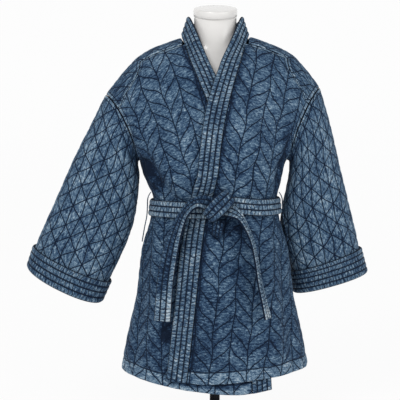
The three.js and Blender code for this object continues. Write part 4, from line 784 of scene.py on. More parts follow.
PUCKER_STEPS = [
    ("rim_rub_share", "MULTIPLY_ADD", "rim", -1 / (RIM_RUB * MM), 1.3),
    ("wandering", "MULTIPLY_ADD", "cloud", PUCKER["wander"] * MM, "across"),
    ("pucker_gap", "PINGPONG", "wandering", PUCKER["apart"] * MM / 2),
    ("pucker", "MULTIPLY_ADD", "pucker_gap", -1 / (PUCKER["wide"] * MM), 2.0),
    ("pucker_here", "GREATER_THAN", "slub", 0.44),
    ("pucker_cut", "MULTIPLY", "pucker", "pucker_here"),
    ("pucker_share", "MULTIPLY", "pucker_cut", 0.65),
    ("dark_share", "MAXIMUM", "dark_share", "pucker_share"),
]
# How much each value pales the cloth, and what they come to where the dye is at its middle. The inside's
# weight is painted shade, darkening the cloth's inner face.
PALING = {
    "slub": 1.3, "weave": 0.8, "fleck": 0.9, "cloud": 0.5,
    "swell_share": 0.1, "below_share": 0.27, "inside": -0.25,
}
RUBBED_PALING = 0.35
MIDDLE_SHADE = -1.36
RELIEF = {"slub": 0.7, "weave": 0.25, "dark_share": -1.2}


def weighed(tree, known, first, weights):
    """Adds values to a first one, each by its weight."""
    total = known[first]
    for value, weight in weights.items():
        links = {0: known[value], 1: weight, 2: total}
        total = add(tree, "ShaderNodeMath", links, operation="MULTIPLY_ADD").outputs[0]
    return total


def washed_denim(name, steps, band=False, tone=0.0):
    """Stone-washed indigo denim, quilted: pale where it swells and rubs, dark in its stitched furrows.

    The weave's slubs give short dark and light streaks, and the stone-washing larger faded clouds. The tone
    marked on each point also carries painted shade and painted highlights.
    """
    material, tree = new_material(name)
    place = add(tree, "ShaderNodeUVMap", uv_map="cloth").outputs[0]
    split = add(tree, "ShaderNodeSeparateXYZ", {0: place}).outputs
    known = {"across": split[0], "up": split[1]}
    for mark in ("hem", "seam", "wash", "inside"):
        known[mark] = add(tree, "ShaderNodeAttribute", attribute_name=mark).outputs["Fac"]
    noises = {row["name"]: row for row in NOISES + (BAND_NOISES if band else [])}
    for noise, row in noises.items():
        scale = (1 / (row["long"] * MM), 1 / (row["thick"] * MM), 1)
        scaled = add(tree, "ShaderNodeMapping", {0: place, "Scale": scale}, vector_type="POINT").outputs[0]
        settings = {key.capitalize(): row[key] for key in ("detail", "roughness", "distortion")}
        settings |= {"Vector": scaled, "Scale": 1.0}
        known[noise] = add(tree, "ShaderNodeTexNoise", settings, noise_dimensions="2D").outputs["Fac"]
    line = BAND_LINE if band else STITCH_LINE
    furrow = ("furrow_share", "MULTIPLY_ADD", "distance", -1 / (line * MM), 2.0)
    sums(tree, known, steps + [furrow] + FURROW_STEPS + (PUCKER_STEPS if band else []))
    paled = "rim_rub_share" if band else "seam_rub_share"
    known["shade"] = weighed(tree, known, "wash", PALING | {paled: RUBBED_PALING})
    sums(tree, known, [("tone_share", "ADD", "shade", MIDDLE_SHADE + tone)])
    ramp = add(tree, "ShaderNodeValToRGB", {0: known["tone_share"]})
    while len(ramp.color_ramp.elements) < len(DYE_STOPS):
        ramp.color_ramp.elements.new(0.5)
    for element, (shade, position) in zip(ramp.color_ramp.elements, DYE_STOPS.items()):
        element.position = position
        element.color = colour(INDIGO[shade])
    links = {0: known["dark_share"], 6: ramp.outputs[0], 7: colour(INDIGO["deep"])}
    dyed = add(tree, "ShaderNodeMix", links, data_type="RGBA").outputs[2]
    height = weighed(tree, known, "swell_share", RELIEF)
    bump = add(tree, "ShaderNodeBump", {"Strength": 0.55, "Distance": 1.2 * MM, "Height": height})
    settings = {
        "Base Color": dyed,
        "Roughness": 0.88,
        "Specular IOR Level": 0.15,
        "Sheen Weight": 0.05,
        "Sheen Roughness": 0.5,
        "Sheen Tint": colour(0xA9BBCB),
        "Normal": bump.outputs[0],
    }
    denim = add(tree, "ShaderNodeBsdfPrincipled", settings).outputs[0]
    add(tree, "ShaderNodeOutputMaterial", {0: denim})
    return material


def mottled(name, noise, tints, settings, bump=None):
    """A plain finish whose tint and relief vary a little, by noise on the piece's own place."""
    material, tree = new_material(name)
    place = add(tree, "ShaderNodeTexCoord").outputs["Object"]
    grain = add(tree, "ShaderNodeTexNoise", {"Vector": place, **noise}).outputs["Fac"]
    links = {0: grain, 6: colour(tints[0]), 7: colour(tints[1])}
    sockets = {"Base Color": add(tree, "ShaderNodeMix", links, data_type="RGBA").outputs[2], **settings}
    if bump:
        sockets["Normal"] = add(tree, "ShaderNodeBump", {**bump, "Height": grain}).outputs[0]
    finish = add(tree, "ShaderNodeBsdfPrincipled", sockets).outputs[0]
    add(tree, "ShaderNodeOutputMaterial", {0: finish})
    return material


leaf_denim = washed_denim("stonewashed_denim_quilted_in_leaves", LEAF_STEPS)
grid_denim = washed_denim("stonewashed_denim_quilted_in_triangles", GRID_STEPS)
band_denim = washed_denim("stonewashed_denim_band", channel_steps(BAND["wide"], BAND["channels"]), True, 0.08)
cuff_denims = [
    washed_denim(f"stonewashed_denim_cuff_in_{size['channels']}_channels", channel_steps(**size), True)
    for size in CUFF_ROWS
]
belt_denim = washed_denim("stonewashed_denim_belt", channel_steps(BELT["wide"], BELT["channels"]), True, 0.12)
# White ABS, spray-lacquered: clean and glossy, with a faint unevenness in its highlights.
shell = mottled(
    "white_lacquered_abs",
    {"Scale": 14.0, "Detail": 2.0},
    (0xDDDBD8, 0xEAE8E6),
    {"Roughness": 0.22, "IOR": 1.5, "Coat Weight": 0.5, "Coat Roughness": 0.08},
    {"Strength": 0.04, "Distance": 1.5 * MM},
)
# Steel under dark powder coat: satin, with a fine orange-peel grain.
steel = mottled(
    "dark_powder_coated_steel",
    {"Scale": 900.0, "Detail": 2.0},
    (0x141518, 0x26272B),
    {"Roughness": 0.42, "Metallic": 0.0},
    {"Strength": 0.2, "Distance": 0.2 * MM},
)
# Polyester core-spun thread, dyed navy: a soft sheen along each stitch.
thread = mottled(
    "navy_polyester_thread",
    {"Scale": 1500.0, "Detail": 1.0},
    (0x0C1A2B, 0x1E3248),
    {"Roughness": 0.6, "Sheen Weight": 0.2},
)

# ---- Fronts and back ----
over_seam, over_free = through(OVER_EDGE, "t", "seam"), through(OVER_EDGE, "t", "free")
under_seam, under_free = through(UNDER_EDGE, "t", "seam"), through(UNDER_EDGE, "t", "free")
over_drop, under_drop = through(OVER_HEM, "p", "drop"), through(UNDER_HEM, "p", "drop")
back_drop = through(BACK_HEM, "p", "drop")
yoke_out = through(YOKE_SEAM, "share", "out")
neck_half = through(NECK, "along", "half")
FRONT_TOP = float(height_along(FRONT, YOKE_TOP)) - CURVED_GAP / 2


def hung(face, drop, p, t):
    """Near the hem the rows follow the hem's own curve, and still end on the side seam."""
    p, t, side = spread(p, t)
    low = t - drop(p) * (1 - smoothstep(t, 0, HEM_DROP_FADES_AT))
    drawn_in = reach_across(face, side, low) / reach_across(face, side, t)
    return np.where(t > HEM_DROP_FADES_AT, p, p * drawn_in), low


def lap_lift(p, t):
    """The over-front stands off where the under-front and its band lie beneath it."""
    past_band = under_free(t) + LAP["clear"]
    across = 1 - smoothstep(p, past_band, past_band + LAP["comes_down"])
    return LAP["lift"] * across * (1 - smoothstep(t, LAP["fades_from"], LAP["fades_to"]))


def no_lift(p, t):
    return np.zeros(np.broadcast(p, t).shape)


def front_outer_end(side, t):
    """The outer end of a front's row: the side seam, then the armhole, then the yoke seam."""
    edge = reach_across(FRONT, side, t)
    share = share_up(FRONT, t)
    gap = np.where(t > UNDERARM, ARMHOLE_GAP, SEAM_GAP)
    yoke = across_at(FRONT, side, t, yoke_out(share) * SHOULDER_END[side])
    return np.where(share <= YOKE_LOW, edge - gap, np.minimum(edge - gap, yoke))


# Painted shadows: under the arms, beside the right sleeve, under the belt's knot end and left tail, and below
# the over-front's hem.
OVER_PAINTED_SHADOWS = table(
    "p t wide tall deep",
    (182, 540, 14, 62, 0.4), (178, 468, 22, 26, 0.35), (8, 356, 24, 17, 0.45), (52, 352, 18, 14, 0.3),
)
UNDER_PAINTED_SHADOWS = table(
    "p t wide tall deep",
    (-184, 490, 36, 32, 0.8), (-160, 462, 26, 26, 0.5), (-118, 112, 17, 24, 0.6),
    (-60, 16, 50, 7, 0.6), (10, 22, 50, 8, 0.7), (80, 28, 50, 8, 0.7),
)
BAND_PAINTED_SHADE = {"deep": 0.3, "wide": 10}  # painted shade on the cloth beside the collar band, which lies in its lee
HEIGHT_TONE = {"skirt": -0.1, "chest": -0.03, "start": 300, "end": 560}


def tone_by_height(rise):
    """Chest and shoulders are paler than the skirt."""
    return lerp(HEIGHT_TONE["skirt"], HEIGHT_TONE["chest"], smoothstep(rise, HEIGHT_TONE["start"], HEIGHT_TONE["end"]))


def painted_shadow_at(spots, p, t):
    """How much painted shadow darkens a place near the spots."""
    depths = []
    for spot in spots:
        off_across, off_up = (p - spot["p"]) / spot["wide"], (t - spot["t"]) / spot["tall"]
        depths.append(spot["deep"] * np.exp(-(off_across**2) - off_up**2))
    return np.maximum.reduce(depths)


def front_spot(drop, lift, p, t, raised):
    across, low = hung(FRONT, drop, p, t)
    direction, longer = outward_at(FRONT, across, low)
    return cloth_point(FRONT, across, low) + direction * (lift(p, t) + raised * longer)[..., None]


def front(name, side, edge, drop, lift, painted_shadows, seed):
    """A front panel up to the yoke seam, the line of stitches along its hem, and its flat size."""
    seam, grain = through(edge, "t", "seam"), through(edge, "t", "grain")
    t = evenly(0, FRONT_TOP, MESH_STEP)[:, None]
    outer_end = front_outer_end(side, t)
    inner_end = seam(t)
    if side == LEFT:
        left, right = -outer_end, inner_end - SEAM_GAP
    else:
        left, right = inner_end + SEAM_GAP, outer_end
    columns = int((right - left).max() / MESH_STEP) + 1
    p = lerp(left, right, np.linspace(0, 1, columns)[None, :])
    t = np.broadcast_to(t, p.shape)
    low = hung(FRONT, drop, p, t)[1]
    step = GRAIN["step"]
    lean = (grain(low + step) - grain(low - step)) / (2 * step)
    across = p - grain(low)
    up = low + across * lean * GRAIN["turn"]
    across = across + wobble(across, up, seed)
    up = up + wobble(up, across, seed + 1)
    outer_gap, inner_gap = (p - left, right - p) if side == LEFT else (right - p, p - left)
    border = np.minimum(np.minimum(outer_gap, inner_gap), np.minimum(t, FRONT_TOP - t))
    relief = pinched(border, swelling(leaf_distance(across, up))) - hem_furrow(t)
    sewn = np.minimum(np.where(t > TOPSTITCHED_FROM, outer_gap, FAR), FRONT_TOP - t)
    # Painted shade beside the collar band and painted shadows at the listed spots darken the tone.
    painted_shade_beside_band = BAND_PAINTED_SHADE["deep"] * np.exp(-((inner_gap / BAND_PAINTED_SHADE["wide"]) ** 2))
    wash = tone_by_height(t) - np.maximum(painted_shade_beside_band, painted_shadow_at(painted_shadows, p, t))
    marks = {"hem": t * MM, "seam": sewn * MM, "wash": wash}
    pattern = stacked(across, up)
    inner = front_spot(drop, lift, p, t, np.zeros(p.shape))
    outer = front_spot(drop, lift, p, t, CLOTH + relief)
    made = cloth_wall(name, inner, outer, pattern, marks, leaf_denim)
    hem_line = front_spot(drop, lift, p[0], np.full(p[0].shape, HEM_STITCH), CLOTH - GROOVE)
    wide = float((right - left).max())
    area = float(np.trapz((right - left)[:, 0], t[:, 0]))
    return made, hem_line, (wide, FRONT_TOP, area)


# The back is five strips side by side: the middle one ends at the neckline, and the two beside it at
# the yoke seam. The outer two run on beside the front's upper end.
NECK_STRIP = 2
YOKE_STRIPS = (1, 3)
YOKE_GAP = 2  # between their lower end and the place where the yoke seam meets the armhole
LEAST_STRIP = 1


def back_edges(t, neckline, yoke):
    """Each side's outer end, yoke seam and neck edge, as distances from the centre line."""
    past = t > SHOULDER_T[BACK]
    on_front = np.where(past, SHOULDER_T[FRONT] - (t - SHOULDER_T[BACK]), 0)
    yoke_row = int(np.argmin(np.abs(t - yoke)))
    edges = []
    for side in (LEFT, RIGHT):
        gap = np.where(t > UNDERARM, ARMHOLE_GAP, SEAM_GAP)
        on_back = reach_across(BACK, side, np.minimum(t, SHOULDER_T[BACK])) - gap
        outer_end = np.where(past, reach_across(FRONT, side, on_front) - ARMHOLE_GAP, on_back)
        neck = neck_half(np.maximum(t - neckline, 0))
        seam = np.minimum(front_outer_end(side, on_front) + CURVED_GAP, outer_end - LEAST_STRIP)
        share = (outer_end - seam)[yoke_row] / (outer_end - neck)[yoke_row]
        seam = np.where(t > yoke + HAIR, seam, outer_end - share * (outer_end - neck))
        edges.append((outer_end, seam, neck))
    return edges


def back_columns(stops, whole_rows):
    """The places across each row, and which strip each column of faces lies in."""
    parts, strips = [], []
    for number, (a, b) in enumerate(zip(stops[:-1], stops[1:])):
        columns = max(2, int(np.median((b - a)[whole_rows]) / MESH_STEP) + 1)
        share = np.linspace(0, 1, columns)[None, :]
        parts.append(lerp(a, b, share if number == 0 else share[:, 1:]))
        strips += [number] * (columns - 1)
    return np.concatenate(parts, 1), np.array(strips)[None, :]


def back_gaps(p, t, edges, neckline, yoke):
    """How far each place is from the back's side, its yoke seam and its neckline."""
    (left_out, left_seam, left_neck), (right_out, right_seam, right_neck) = edges
    side_gap = np.minimum(right_out - p, p + left_out)
    seam_gap = np.minimum(np.abs(p - right_seam), np.abs(p + left_seam))
    under_seam_row = np.abs(p) < np.where(p > 0, right_seam, left_seam)
    yoke_gap = np.where(under_seam_row, yoke - t, np.hypot(yoke - t, seam_gap))
    yoke_gap = np.where(t > yoke, seam_gap, yoke_gap)
    neck_gap = np.where(
        t > neckline,
        np.where(p > 0, p - right_neck, -p - left_neck),
        np.hypot(neckline - t, np.maximum(np.abs(p) - right_neck, 0)),
    )
    return side_gap, yoke_gap, neck_gap


def back():
    """The back and both shoulders, in one piece that comes over to the yoke seams."""
    neckline = SHOULDER_T[BACK] - NECK_START
    over = SHOULDER_T[BACK] + SHOULDER_T[FRONT]
    yoke = over - FRONT_TOP - CURVED_GAP
    low_end = over - float(height_along(FRONT, YOKE_LOW)) - YOKE_GAP
    stops = [0, neckline, yoke, low_end]
    stretches = [evenly(a, b, MESH_STEP) for a, b in zip(stops, stops[1:])]
    t = np.concatenate([stretches[0]] + [rows[1:] for rows in stretches[1:]])[:, None]
    edges = back_edges(t, neckline, yoke)
    (left_out, left_seam, left_neck), (right_out, right_seam, right_neck) = edges
    stops = [-left_out, -left_seam, -left_neck, right_neck, right_seam, right_out]
    p, strips = back_columns(stops, t < neckline)
    row_end = t[1:]
    below_neck = (strips != NECK_STRIP) | (row_end < neckline + HAIR)
    present = below_neck & (~np.isin(strips, YOKE_STRIPS) | (row_end < yoke + HAIR))
    t = np.broadcast_to(t, p.shape)
    seed = WANDER_START["back"]
    across, up = p + wobble(p, t, seed), t + wobble(t, p, seed + 1)
    side_gap, yoke_gap, neck_gap = back_gaps(p, t, edges, neckline, yoke)
    upper_gap = np.where(t > yoke, yoke_gap, np.minimum(yoke_gap, neck_gap))
    border = np.minimum(np.minimum(side_gap, t), upper_gap)
    relief = pinched(np.maximum(border, 0), swelling(grid_distance(across, up))) - hem_furrow(t)
    sewn = np.minimum(np.where(t > TOPSTITCHED_FROM, side_gap, FAR), np.maximum(yoke_gap, 0))
    marks = {"hem": t * MM, "seam": sewn * MM, "wash": tone_by_height(np.minimum(t, over - t))}
    drawn, low = hung(BACK, back_drop, p, t)
    direction, longer = outward_at(BACK, drawn, low)
    inner = cloth_point(BACK, drawn, low)
    outer = inner + direction * ((CLOTH + relief) * longer)[..., None]
    pattern = stacked(across, up)
    made = cloth_wall("back_cloth", inner, outer, pattern, marks, grid_denim, present=present)
    whole = left_out + right_out
    taken = whole[:, 0] * np.append(present.sum(1) / present.shape[1], 0)
    return made, (float(whole.max()), float(t[-1, 0]), float(np.trapz(taken, t[:, 0])))


# ---- Sleeves ----
SLEEVE_TURNED = 0.9  # the section from which a sleeve faces its own way
SLEEVE_WASH = 0.06  # how much paler than the body
UNDERARM_PAINTED_SHADE = {"deep": 0.4, "along": 55, "around": 70}


def sleeve_outward(side, angle, section):
    own = sleeve_normal(side, angle, section)
    share = smoothstep(section, 0, SLEEVE_TURNED)
    middle, longer = seam_outward(np.full(angle.shape, side), angle)
    return unit(lerp(middle, own, share[..., None])), lerp(longer, 1, share)


def sleeve(name, side):
    """A sleeve from its armhole to inside its cuff. Its stitched rows run along it."""
    angle = np.linspace(-math.pi, math.pi, SLEEVE_MESH["around"] + 1)[None, :]
    section = np.linspace(0, SLEEVE_ENDS_AT, SLEEVE_MESH["along"])[:, None]
    start_gap = SLEEVE_GAP * (1 + (1 - np.cos(angle)) / 2)
    angle, section = np.broadcast_arrays(angle, np.maximum(section, start_gap))
    inner = sleeve_point(side, angle, section)
    gone = lengths(np.swapaxes(inner, 0, 1)).T
    top = SLEEVE_MESH["around"] // 2
    around = lengths(inner)
    around = around - around[:, top : top + 1]
    axis = unit(inner[-1].mean(0) - inner[SLEEVE_MESH["along"] // SLEEVE_MESH["axis_from"]].mean(0))
    along = ((inner - inner[0, top]) * axis).sum(-1)
    seed = WANDER_START["sleeve"] + side
    across = along + wobble(along, around, seed)
    up = around + wobble(around, along, seed + 1)
    underarm_gap = np.minimum(around - around[:, :1], around[:, -1:] - around)
    border = np.minimum(gone, underarm_gap)
    relief = pinched(border, swelling(grid_distance(across, up)))
    direction, longer = sleeve_outward(side, angle, section)
    outer = inner + direction * ((CLOTH + relief) * longer)[..., None]
    # Painted shade on the sleeve near the underarm, where it meets the body.
    off_along, off_around = gone / UNDERARM_PAINTED_SHADE["along"], underarm_gap / UNDERARM_PAINTED_SHADE["around"]
    underarm = UNDERARM_PAINTED_SHADE["deep"] * np.exp(-(off_along**2) - off_around**2)
    marks = {"hem": FAR * MM, "seam": gone * MM, "wash": SLEEVE_WASH - underarm}
    made = cloth_wall(name, inner, outer, stacked(across, up), marks, grid_denim, wrap=True)
    wide = float((around[:, -1] - around[:, 0]).max())
    rings = np.linalg.norm(np.diff(inner, axis=1), axis=-1).sum(1)
    return made, (wide, float(gone[-1].max()), float(np.trapz(rings, gone.mean(1))))


# ---- Bands ----
CHANNEL = {"exponent": 0.6, "full": 0.7}  # how full and how high it swells
THREAD_OUT = 0.25  # how far a row of stitches lies out of its furrow
BAND_WASH = 0.04


def channel_relief(across, channels):
    swell = np.abs(np.sin(across * channels * math.pi)) ** CHANNEL["exponent"]
    return lerp(-GROOVE, PUFF * CHANNEL["full"], swell)


def band_samples(channels):
    return np.linspace(0, 1, channels * BAND_SAMPLES + 1)


def trim_marks(wash):
    return {"hem": FAR * MM, "seam": FAR * MM, "wash": wash}


def band_wall(name, inner, out, size, material, wash=BAND_WASH):
    """A stitched band from the points of its inner side, [along, across], and the way out at each."""
    across = band_samples(size["channels"])[None, :]
    along = lengths(np.swapaxes(inner, 0, 1)).T.mean(1)[:, None]
    rim = np.minimum(across, 1 - across) * size["wide"]
    relief = pinched(rim, channel_relief(across, size["channels"]))
    outer = inner + out * (size["thick"] + relief)[..., None]
    made = cloth_wall(name, inner, outer, stacked(along, across * size["wide"]), trim_marks(wash), material)
    rows = [i * BAND_SAMPLES for i in range(1, size["channels"])]
    lines = [outer[:, i] + out[:, i] * THREAD_OUT for i in rows]
    wide = float(np.linalg.norm(np.diff(inner, axis=1), axis=-1).sum(1).mean())
    return made, lines, (wide, float(along[-1, 0]))


def smoothed(stations, outward, step):
    """More stations along a band, on smooth curves through the ones given, and the way out at each."""
    gone = lengths(stations[:, stations.shape[1] // 2])
    before, after = neighbours(len(stations))
    at = evenly(0, gone[-1], step)
    i = np.clip(np.searchsorted(gone, at) - 1, 0, len(stations) - 2)
    span = (gone[i + 1] - gone[i])[:, None, None]
    s = (at - gone[i])[:, None, None] / span
    made = []
    for value in (stations, outward):
        slope = (value[after] - value[before]) / (gone[after] - gone[before])[:, None, None]
        made.append(hermite(value[i], value[i + 1], slope[i], slope[i + 1], span, s))
    return made[0], unit(made[1])


def collar_band():
    """One band up the over-front's edge, round the neck and down the under-front's."""
    across = band_samples(BAND["channels"])[None, :]
    top = BAND["leaves_cloth"]
    t = evenly(0, top, BAND["station"])[:, None]
    fronts = {}
    for side, seam, free, drop in (
        (RIGHT, over_seam, over_free, over_drop),
        (LEFT, under_seam, under_free, under_drop),
    ):
        sign = 2 * side - 1
        p = lerp(seam(t) - sign * SEWN_GAP, free(t), across)
        drawn, low = hung(FRONT, drop, p, t)
        out = surface_normal(FRONT, drawn, low)
        lift = lap_lift(p, t) if side == RIGHT else no_lift(p, t)
        fronts[side] = (cloth_point(FRONT, drawn, low) + out * lift[..., None], out)
    neck = rows_through(BAND_NECK)
    last = len(BAND_NECK) - 1

    def edges(number):
        mirrored = np.where(np.abs(number) > last, -1, 1)
        row = np.where(mirrored < 0, 2 * last - number, number)
        at = {name: curve(row) for name, curve in neck.items()}
        seam = stacked(mirrored * at["seam_x"], at["seam_y"], HEM_Z + at["seam_rise"])
        free = stacked(mirrored * at["free_x"], at["free_y"], HEM_Z + at["free_rise"])
        return seam, free

    number, step = evenly(0, last, 0.5), 0.1
    seam, free = edges(number)
    (ahead_seam, ahead_free), (behind_seam, behind_free) = edges(number + step), edges(number - step)
    share = across[..., None]
    along = lerp((ahead_seam - behind_seam)[:, None], (ahead_free - behind_free)[:, None], share)
    around = lerp(seam[:, None], free[:, None], share)
    out = unit(np.cross(along, (free - seam)[:, None]))
    mirror = np.array([-1, 1, 1])
    inner = np.concatenate([fronts[RIGHT][0], around, (around * mirror)[-2::-1], fronts[LEFT][0][::-1]])
    outs = np.concatenate([fronts[RIGHT][1], out, (out * mirror)[-2::-1], fronts[LEFT][1][::-1]])
    return band_wall("collar_band_cloth", *smoothed(inner, outs, BAND_STEP), BAND, band_denim)


def cuff(name, side):
    """A stitched cuff, closed round the sleeve's end."""
    channels, wide = CUFF_ROWS[side]["channels"], CUFF_ROWS[side]["wide"]
    samples = band_samples(channels)[:, None]
    angle = np.linspace(-math.pi, math.pi, CUFF_POINTS)[None, :]
    angle, section = np.broadcast_arrays(angle, lerp(CUFF["start"], CUFF["end"], samples))
    out = sleeve_normal(side, angle, section)
    inner = sleeve_point(side, angle, section) + out * (CLOTH + PUFF + CUFF["clear"])
    # The grid's rows run across the cuff, so that its last column can close on its first.
    relief = pinched(np.minimum(samples, 1 - samples) * wide, channel_relief(samples, channels))
    outer = inner + out * (CUFF["thick"] + relief)[..., None]
    around = lengths(inner).mean(0)[None, :]
    pattern = stacked(around, samples * wide)
    made = cloth_wall(name, inner, outer, pattern, trim_marks(BAND_WASH), cuff_denims[side], wrap=True)
    lines = [outer[i * BAND_SAMPLES] + out[i * BAND_SAMPLES] * THREAD_OUT for i in range(1, channels)]
    return made, lines, (float(wide), float(around[0, -1]))


# A length's own tone is painted shade on the knot, its end and the left tail, and a painted highlight on the
# right tail. The column after it adds a painted highlight on the lit channel towards the viewer's right, and
# tip adds wear at the end.
STRAPS = table(
    "node rows wash far_side tip",
    ("belt_knot", KNOT_WRAP, -0.16, 0.0, 0.0), ("belt_knot_end", KNOT_END, -0.3, 0.0, 0.0),
    ("belt_tail_left", LEFT_TAIL, -0.26, 0.3, 0.4), ("belt_tail_right", RIGHT_TAIL, 0.1, 0.0, 0.25),
)
LIT_SIDE_SHARES = (0.6, 0.75)  # shares of the width between which the painted highlight on the lit channel starts
RUBBED_TIP = (12, 34)  # distances from the end over which its rub fades
STRAP_SAMPLES = 200


def strap(node, rows, wash, far_side, tip):
    """A length of the belt, by the middle of its inner side and the way its width runs."""
    at = rows_through(rows)
    last = len(rows) - 1

    def middle_of(i):
        return stacked(at["x"](i), at["y"](i), HEM_Z + at["rise"](i))

    rough = lengths(middle_of(np.linspace(0, last, STRAP_SAMPLES))[None])[0, -1]
    number = np.linspace(0, last, int(rough / BAND_STEP) + 1)
    turn, swing = np.radians(at["turn"](number)), np.radians(at["swing"](number))
    step = 0.05
    along = unit(middle_of(number + step) - middle_of(number - step))
    asked = stacked(np.cos(turn) * np.cos(swing), -np.sin(swing), np.sin(turn) * np.cos(swing))
    wide = unit(asked - along * (asked * along).sum(-1, keepdims=True))
    out = np.cross(along, wide)
    shares = band_samples(BELT["channels"])[None, :]
    across = shares[..., None] - 0.5
    inner = middle_of(number)[:, None] + wide[:, None] * across * at["width"](number)[:, None, None]
    outs = np.broadcast_to(out[:, None], inner.shape)
    from_end = (rough - rough * number / last)[:, None]
    # A painted highlight on the lit channel, and wear fading in from the tip.
    paled = far_side * smoothstep(shares, *LIT_SIDE_SHARES) + tip * (1 - smoothstep(from_end, *RUBBED_TIP))
    return band_wall(node + "_cloth", inner, outs, BELT, belt_denim, wash + paled)


WAIST_WASH = 0.08
LOOP_WASH = -0.2


def belt_waist():
    """The belt round the waist, from just right of the knot round the back to just left of it."""
    t = BELT["middle"]
    reach = {face: float(reach_across(face, RIGHT, t)) for face in (FRONT, BACK)}
    across = band_samples(BELT["channels"])[None, :]
    level = t + (across - 0.5) * BELT["wide"]
    stretches = [
        (FRONT, evenly(BELT["end"], reach[FRONT], BAND_STEP)[:-1]),
        (BACK, evenly(reach[BACK], -reach[BACK], BAND_STEP)),
        (FRONT, evenly(-reach[FRONT], -BELT["end"], BAND_STEP)[1:]),
    ]
    inner, outs = [], []
    for face, places in stretches:
        p, up, side = spread(places[:, None], level)
        scaled = p / reach[face] * reach_across(face, side, up)
        out = unit(surface_normal(face, scaled, t) * np.array([1, 1, 0]))
        lift = np.full(p.shape, CLOTH + PUFF + BELT["clear"])
        rise = BELT_RISE["side"] * smoothstep(p, -reach[BACK], reach[BACK])
        if face == FRONT:
            climbs = smoothstep(p, over_free(t) - ON_LAP["start"], over_free(t) - ON_LAP["end"])
            lift = lift + climbs * lap_lift(p, t)
            near = 1 - smoothstep(p, BELT_RISE["end"], BELT_RISE["start"])
            rise = np.where(p > 0, BELT_RISE["side"] + BELT_RISE["height"] * near, 0)
        point = cloth_point(face, scaled, up) + out * lift[..., None]
        inner.append(point + stacked(0, 0, rise))
        outs.append(out)
    inner, outs = np.concatenate(inner), np.concatenate(outs)
    return band_wall("belt_waist_cloth", inner, outs, BELT, belt_denim, WAIST_WASH)


def belt_loop(name, side):
    """A narrow loop that stands off the side seam, round the belt."""
    sign = 2 * side - 1
    rise = evenly(LOOP_LINE[0]["rise"], LOOP_LINE[-1]["rise"], LOOP["step"])[:, None]
    across = np.linspace(-0.5, 0.5, LOOP["points"])[None, :] * LOOP["wide"]
    inner = stacked(sign * through(LOOP_LINE, "rise", "out")(rise), across, HEM_Z + rise)
    thick = LOOP["thick"] - LOOP["thinner"] * (2 * across / LOOP["wide"]) ** 4
    outer = inner + np.array([sign, 0.0, 0.0]) * thick[..., None]
    pattern = stacked(rise, across + LOOP["wide"] / 2 + LOOP["pattern"])
    return cloth_wall(name, inner, outer, pattern, trim_marks(LOOP_WASH), belt_denim)


# ---- Stitches, laid along their rows ----
STITCH = {"Stitch": 2.7 * MM, "Pitch": 3.6 * MM, "Thread": 0.55 * MM}


def stitch_tree():
    """Lays a small rounded stitch at even steps along every edge of a mesh."""
    tree = bpy.data.node_groups.new("rows_of_stitches", "GeometryNodeTree")
    tree.interface.new_socket("Geometry", in_out="INPUT", socket_type="NodeSocketGeometry")
    number = {"in_out": "INPUT", "socket_type": "NodeSocketFloat"}
    sizes = {name: tree.interface.new_socket(name, **number) for name in STITCH}
    tree.interface.new_socket("Geometry", in_out="OUTPUT", socket_type="NodeSocketGeometry")
    given = add(tree, "NodeGroupInput").outputs
    line = add(tree, "GeometryNodeMeshToCurve", {0: given["Geometry"]}).outputs[0]
    even = add(tree, "GeometryNodeResampleCurve", {"Curve": line, "Length": given["Pitch"]}, mode="LENGTH")
    tangent = add(tree, "GeometryNodeInputTangent").outputs[0]
    turned = add(tree, "FunctionNodeAlignRotationToVector", {"Vector": tangent}, axis="X").outputs[0]
    sides = {0: given["Stitch"], 1: given["Thread"], 2: given["Thread"]}
    size = add(tree, "ShaderNodeCombineXYZ", sides).outputs[0]
    bead = add(tree, "GeometryNodeMeshIcoSphere", {"Radius": 0.5, "Subdivisions": 1}).outputs[0]
    links = {"Points": even.outputs[0], "Instance": bead, "Rotation": turned, "Scale": size}
    laid = add(tree, "GeometryNodeInstanceOnPoints", links).outputs[0]
    real = add(tree, "GeometryNodeRealizeInstances", {0: laid}).outputs[0]
    sewn = add(tree, "GeometryNodeSetMaterial", {0: real, "Material": thread}).outputs[0]
    add(tree, "NodeGroupOutput", {0: sewn})
    return tree, {name: socket.identifier for name, socket in sizes.items()}


STITCHES, STITCH_SOCKETS = stitch_tree()


def sew(name, lines):
    """One piece of stitches from lines of points in millimetres."""
    starts = np.cumsum([0] + [len(line) for line in lines])
    edges = [
        (start + i, start + i + 1) for start, line in zip(starts, lines) for i in range(len(line) - 1)
    ]
    mesh = bpy.data.meshes.new(name + "_path")
    mesh.from_pydata((np.concatenate(lines) * MM).tolist(), edges, [])
    path = placed(name + "_path", mesh)
    modifier = path.modifiers.new("stitches", "NODES")
    modifier.node_group = STITCHES
    for size, value in STITCH.items():
        modifier[STITCH_SOCKETS[size]] = value
    evaluated = path.evaluated_get(bpy.context.evaluated_depsgraph_get())
    sewn = bpy.data.meshes.new_from_object(evaluated)
    sewn.name = name
    bpy.data.objects.remove(path)
    return placed(name, sewn)


# ---- The dress form and its stand ----
def closed_rings(name, rings, material):
    """A body closed by a fan at each end, from rings of points."""
    rows, columns = rings.shape[:2]
    ids = np.arange(rows * columns).reshape(rows, columns)
    ids = np.concatenate([ids, ids[:, :1]], 1)
    points = np.concatenate([rings.reshape(-1, 3), [rings[0].mean(0), rings[-1].mean(0)]])
    faces = grid_faces(ids).tolist()
    low, high = rows * columns, rows * columns + 1
    faces += [[low, ids[0, i + 1], ids[0, i]] for i in range(columns)]
    faces += [[high, ids[-1, i], ids[-1, i + 1]] for i in range(columns)]
    return smooth_piece(name, (points * MM).tolist(), faces, material)


def whole_turn(count):
    return np.linspace(0, 2 * math.pi, count + 1)[:-1][None, :]


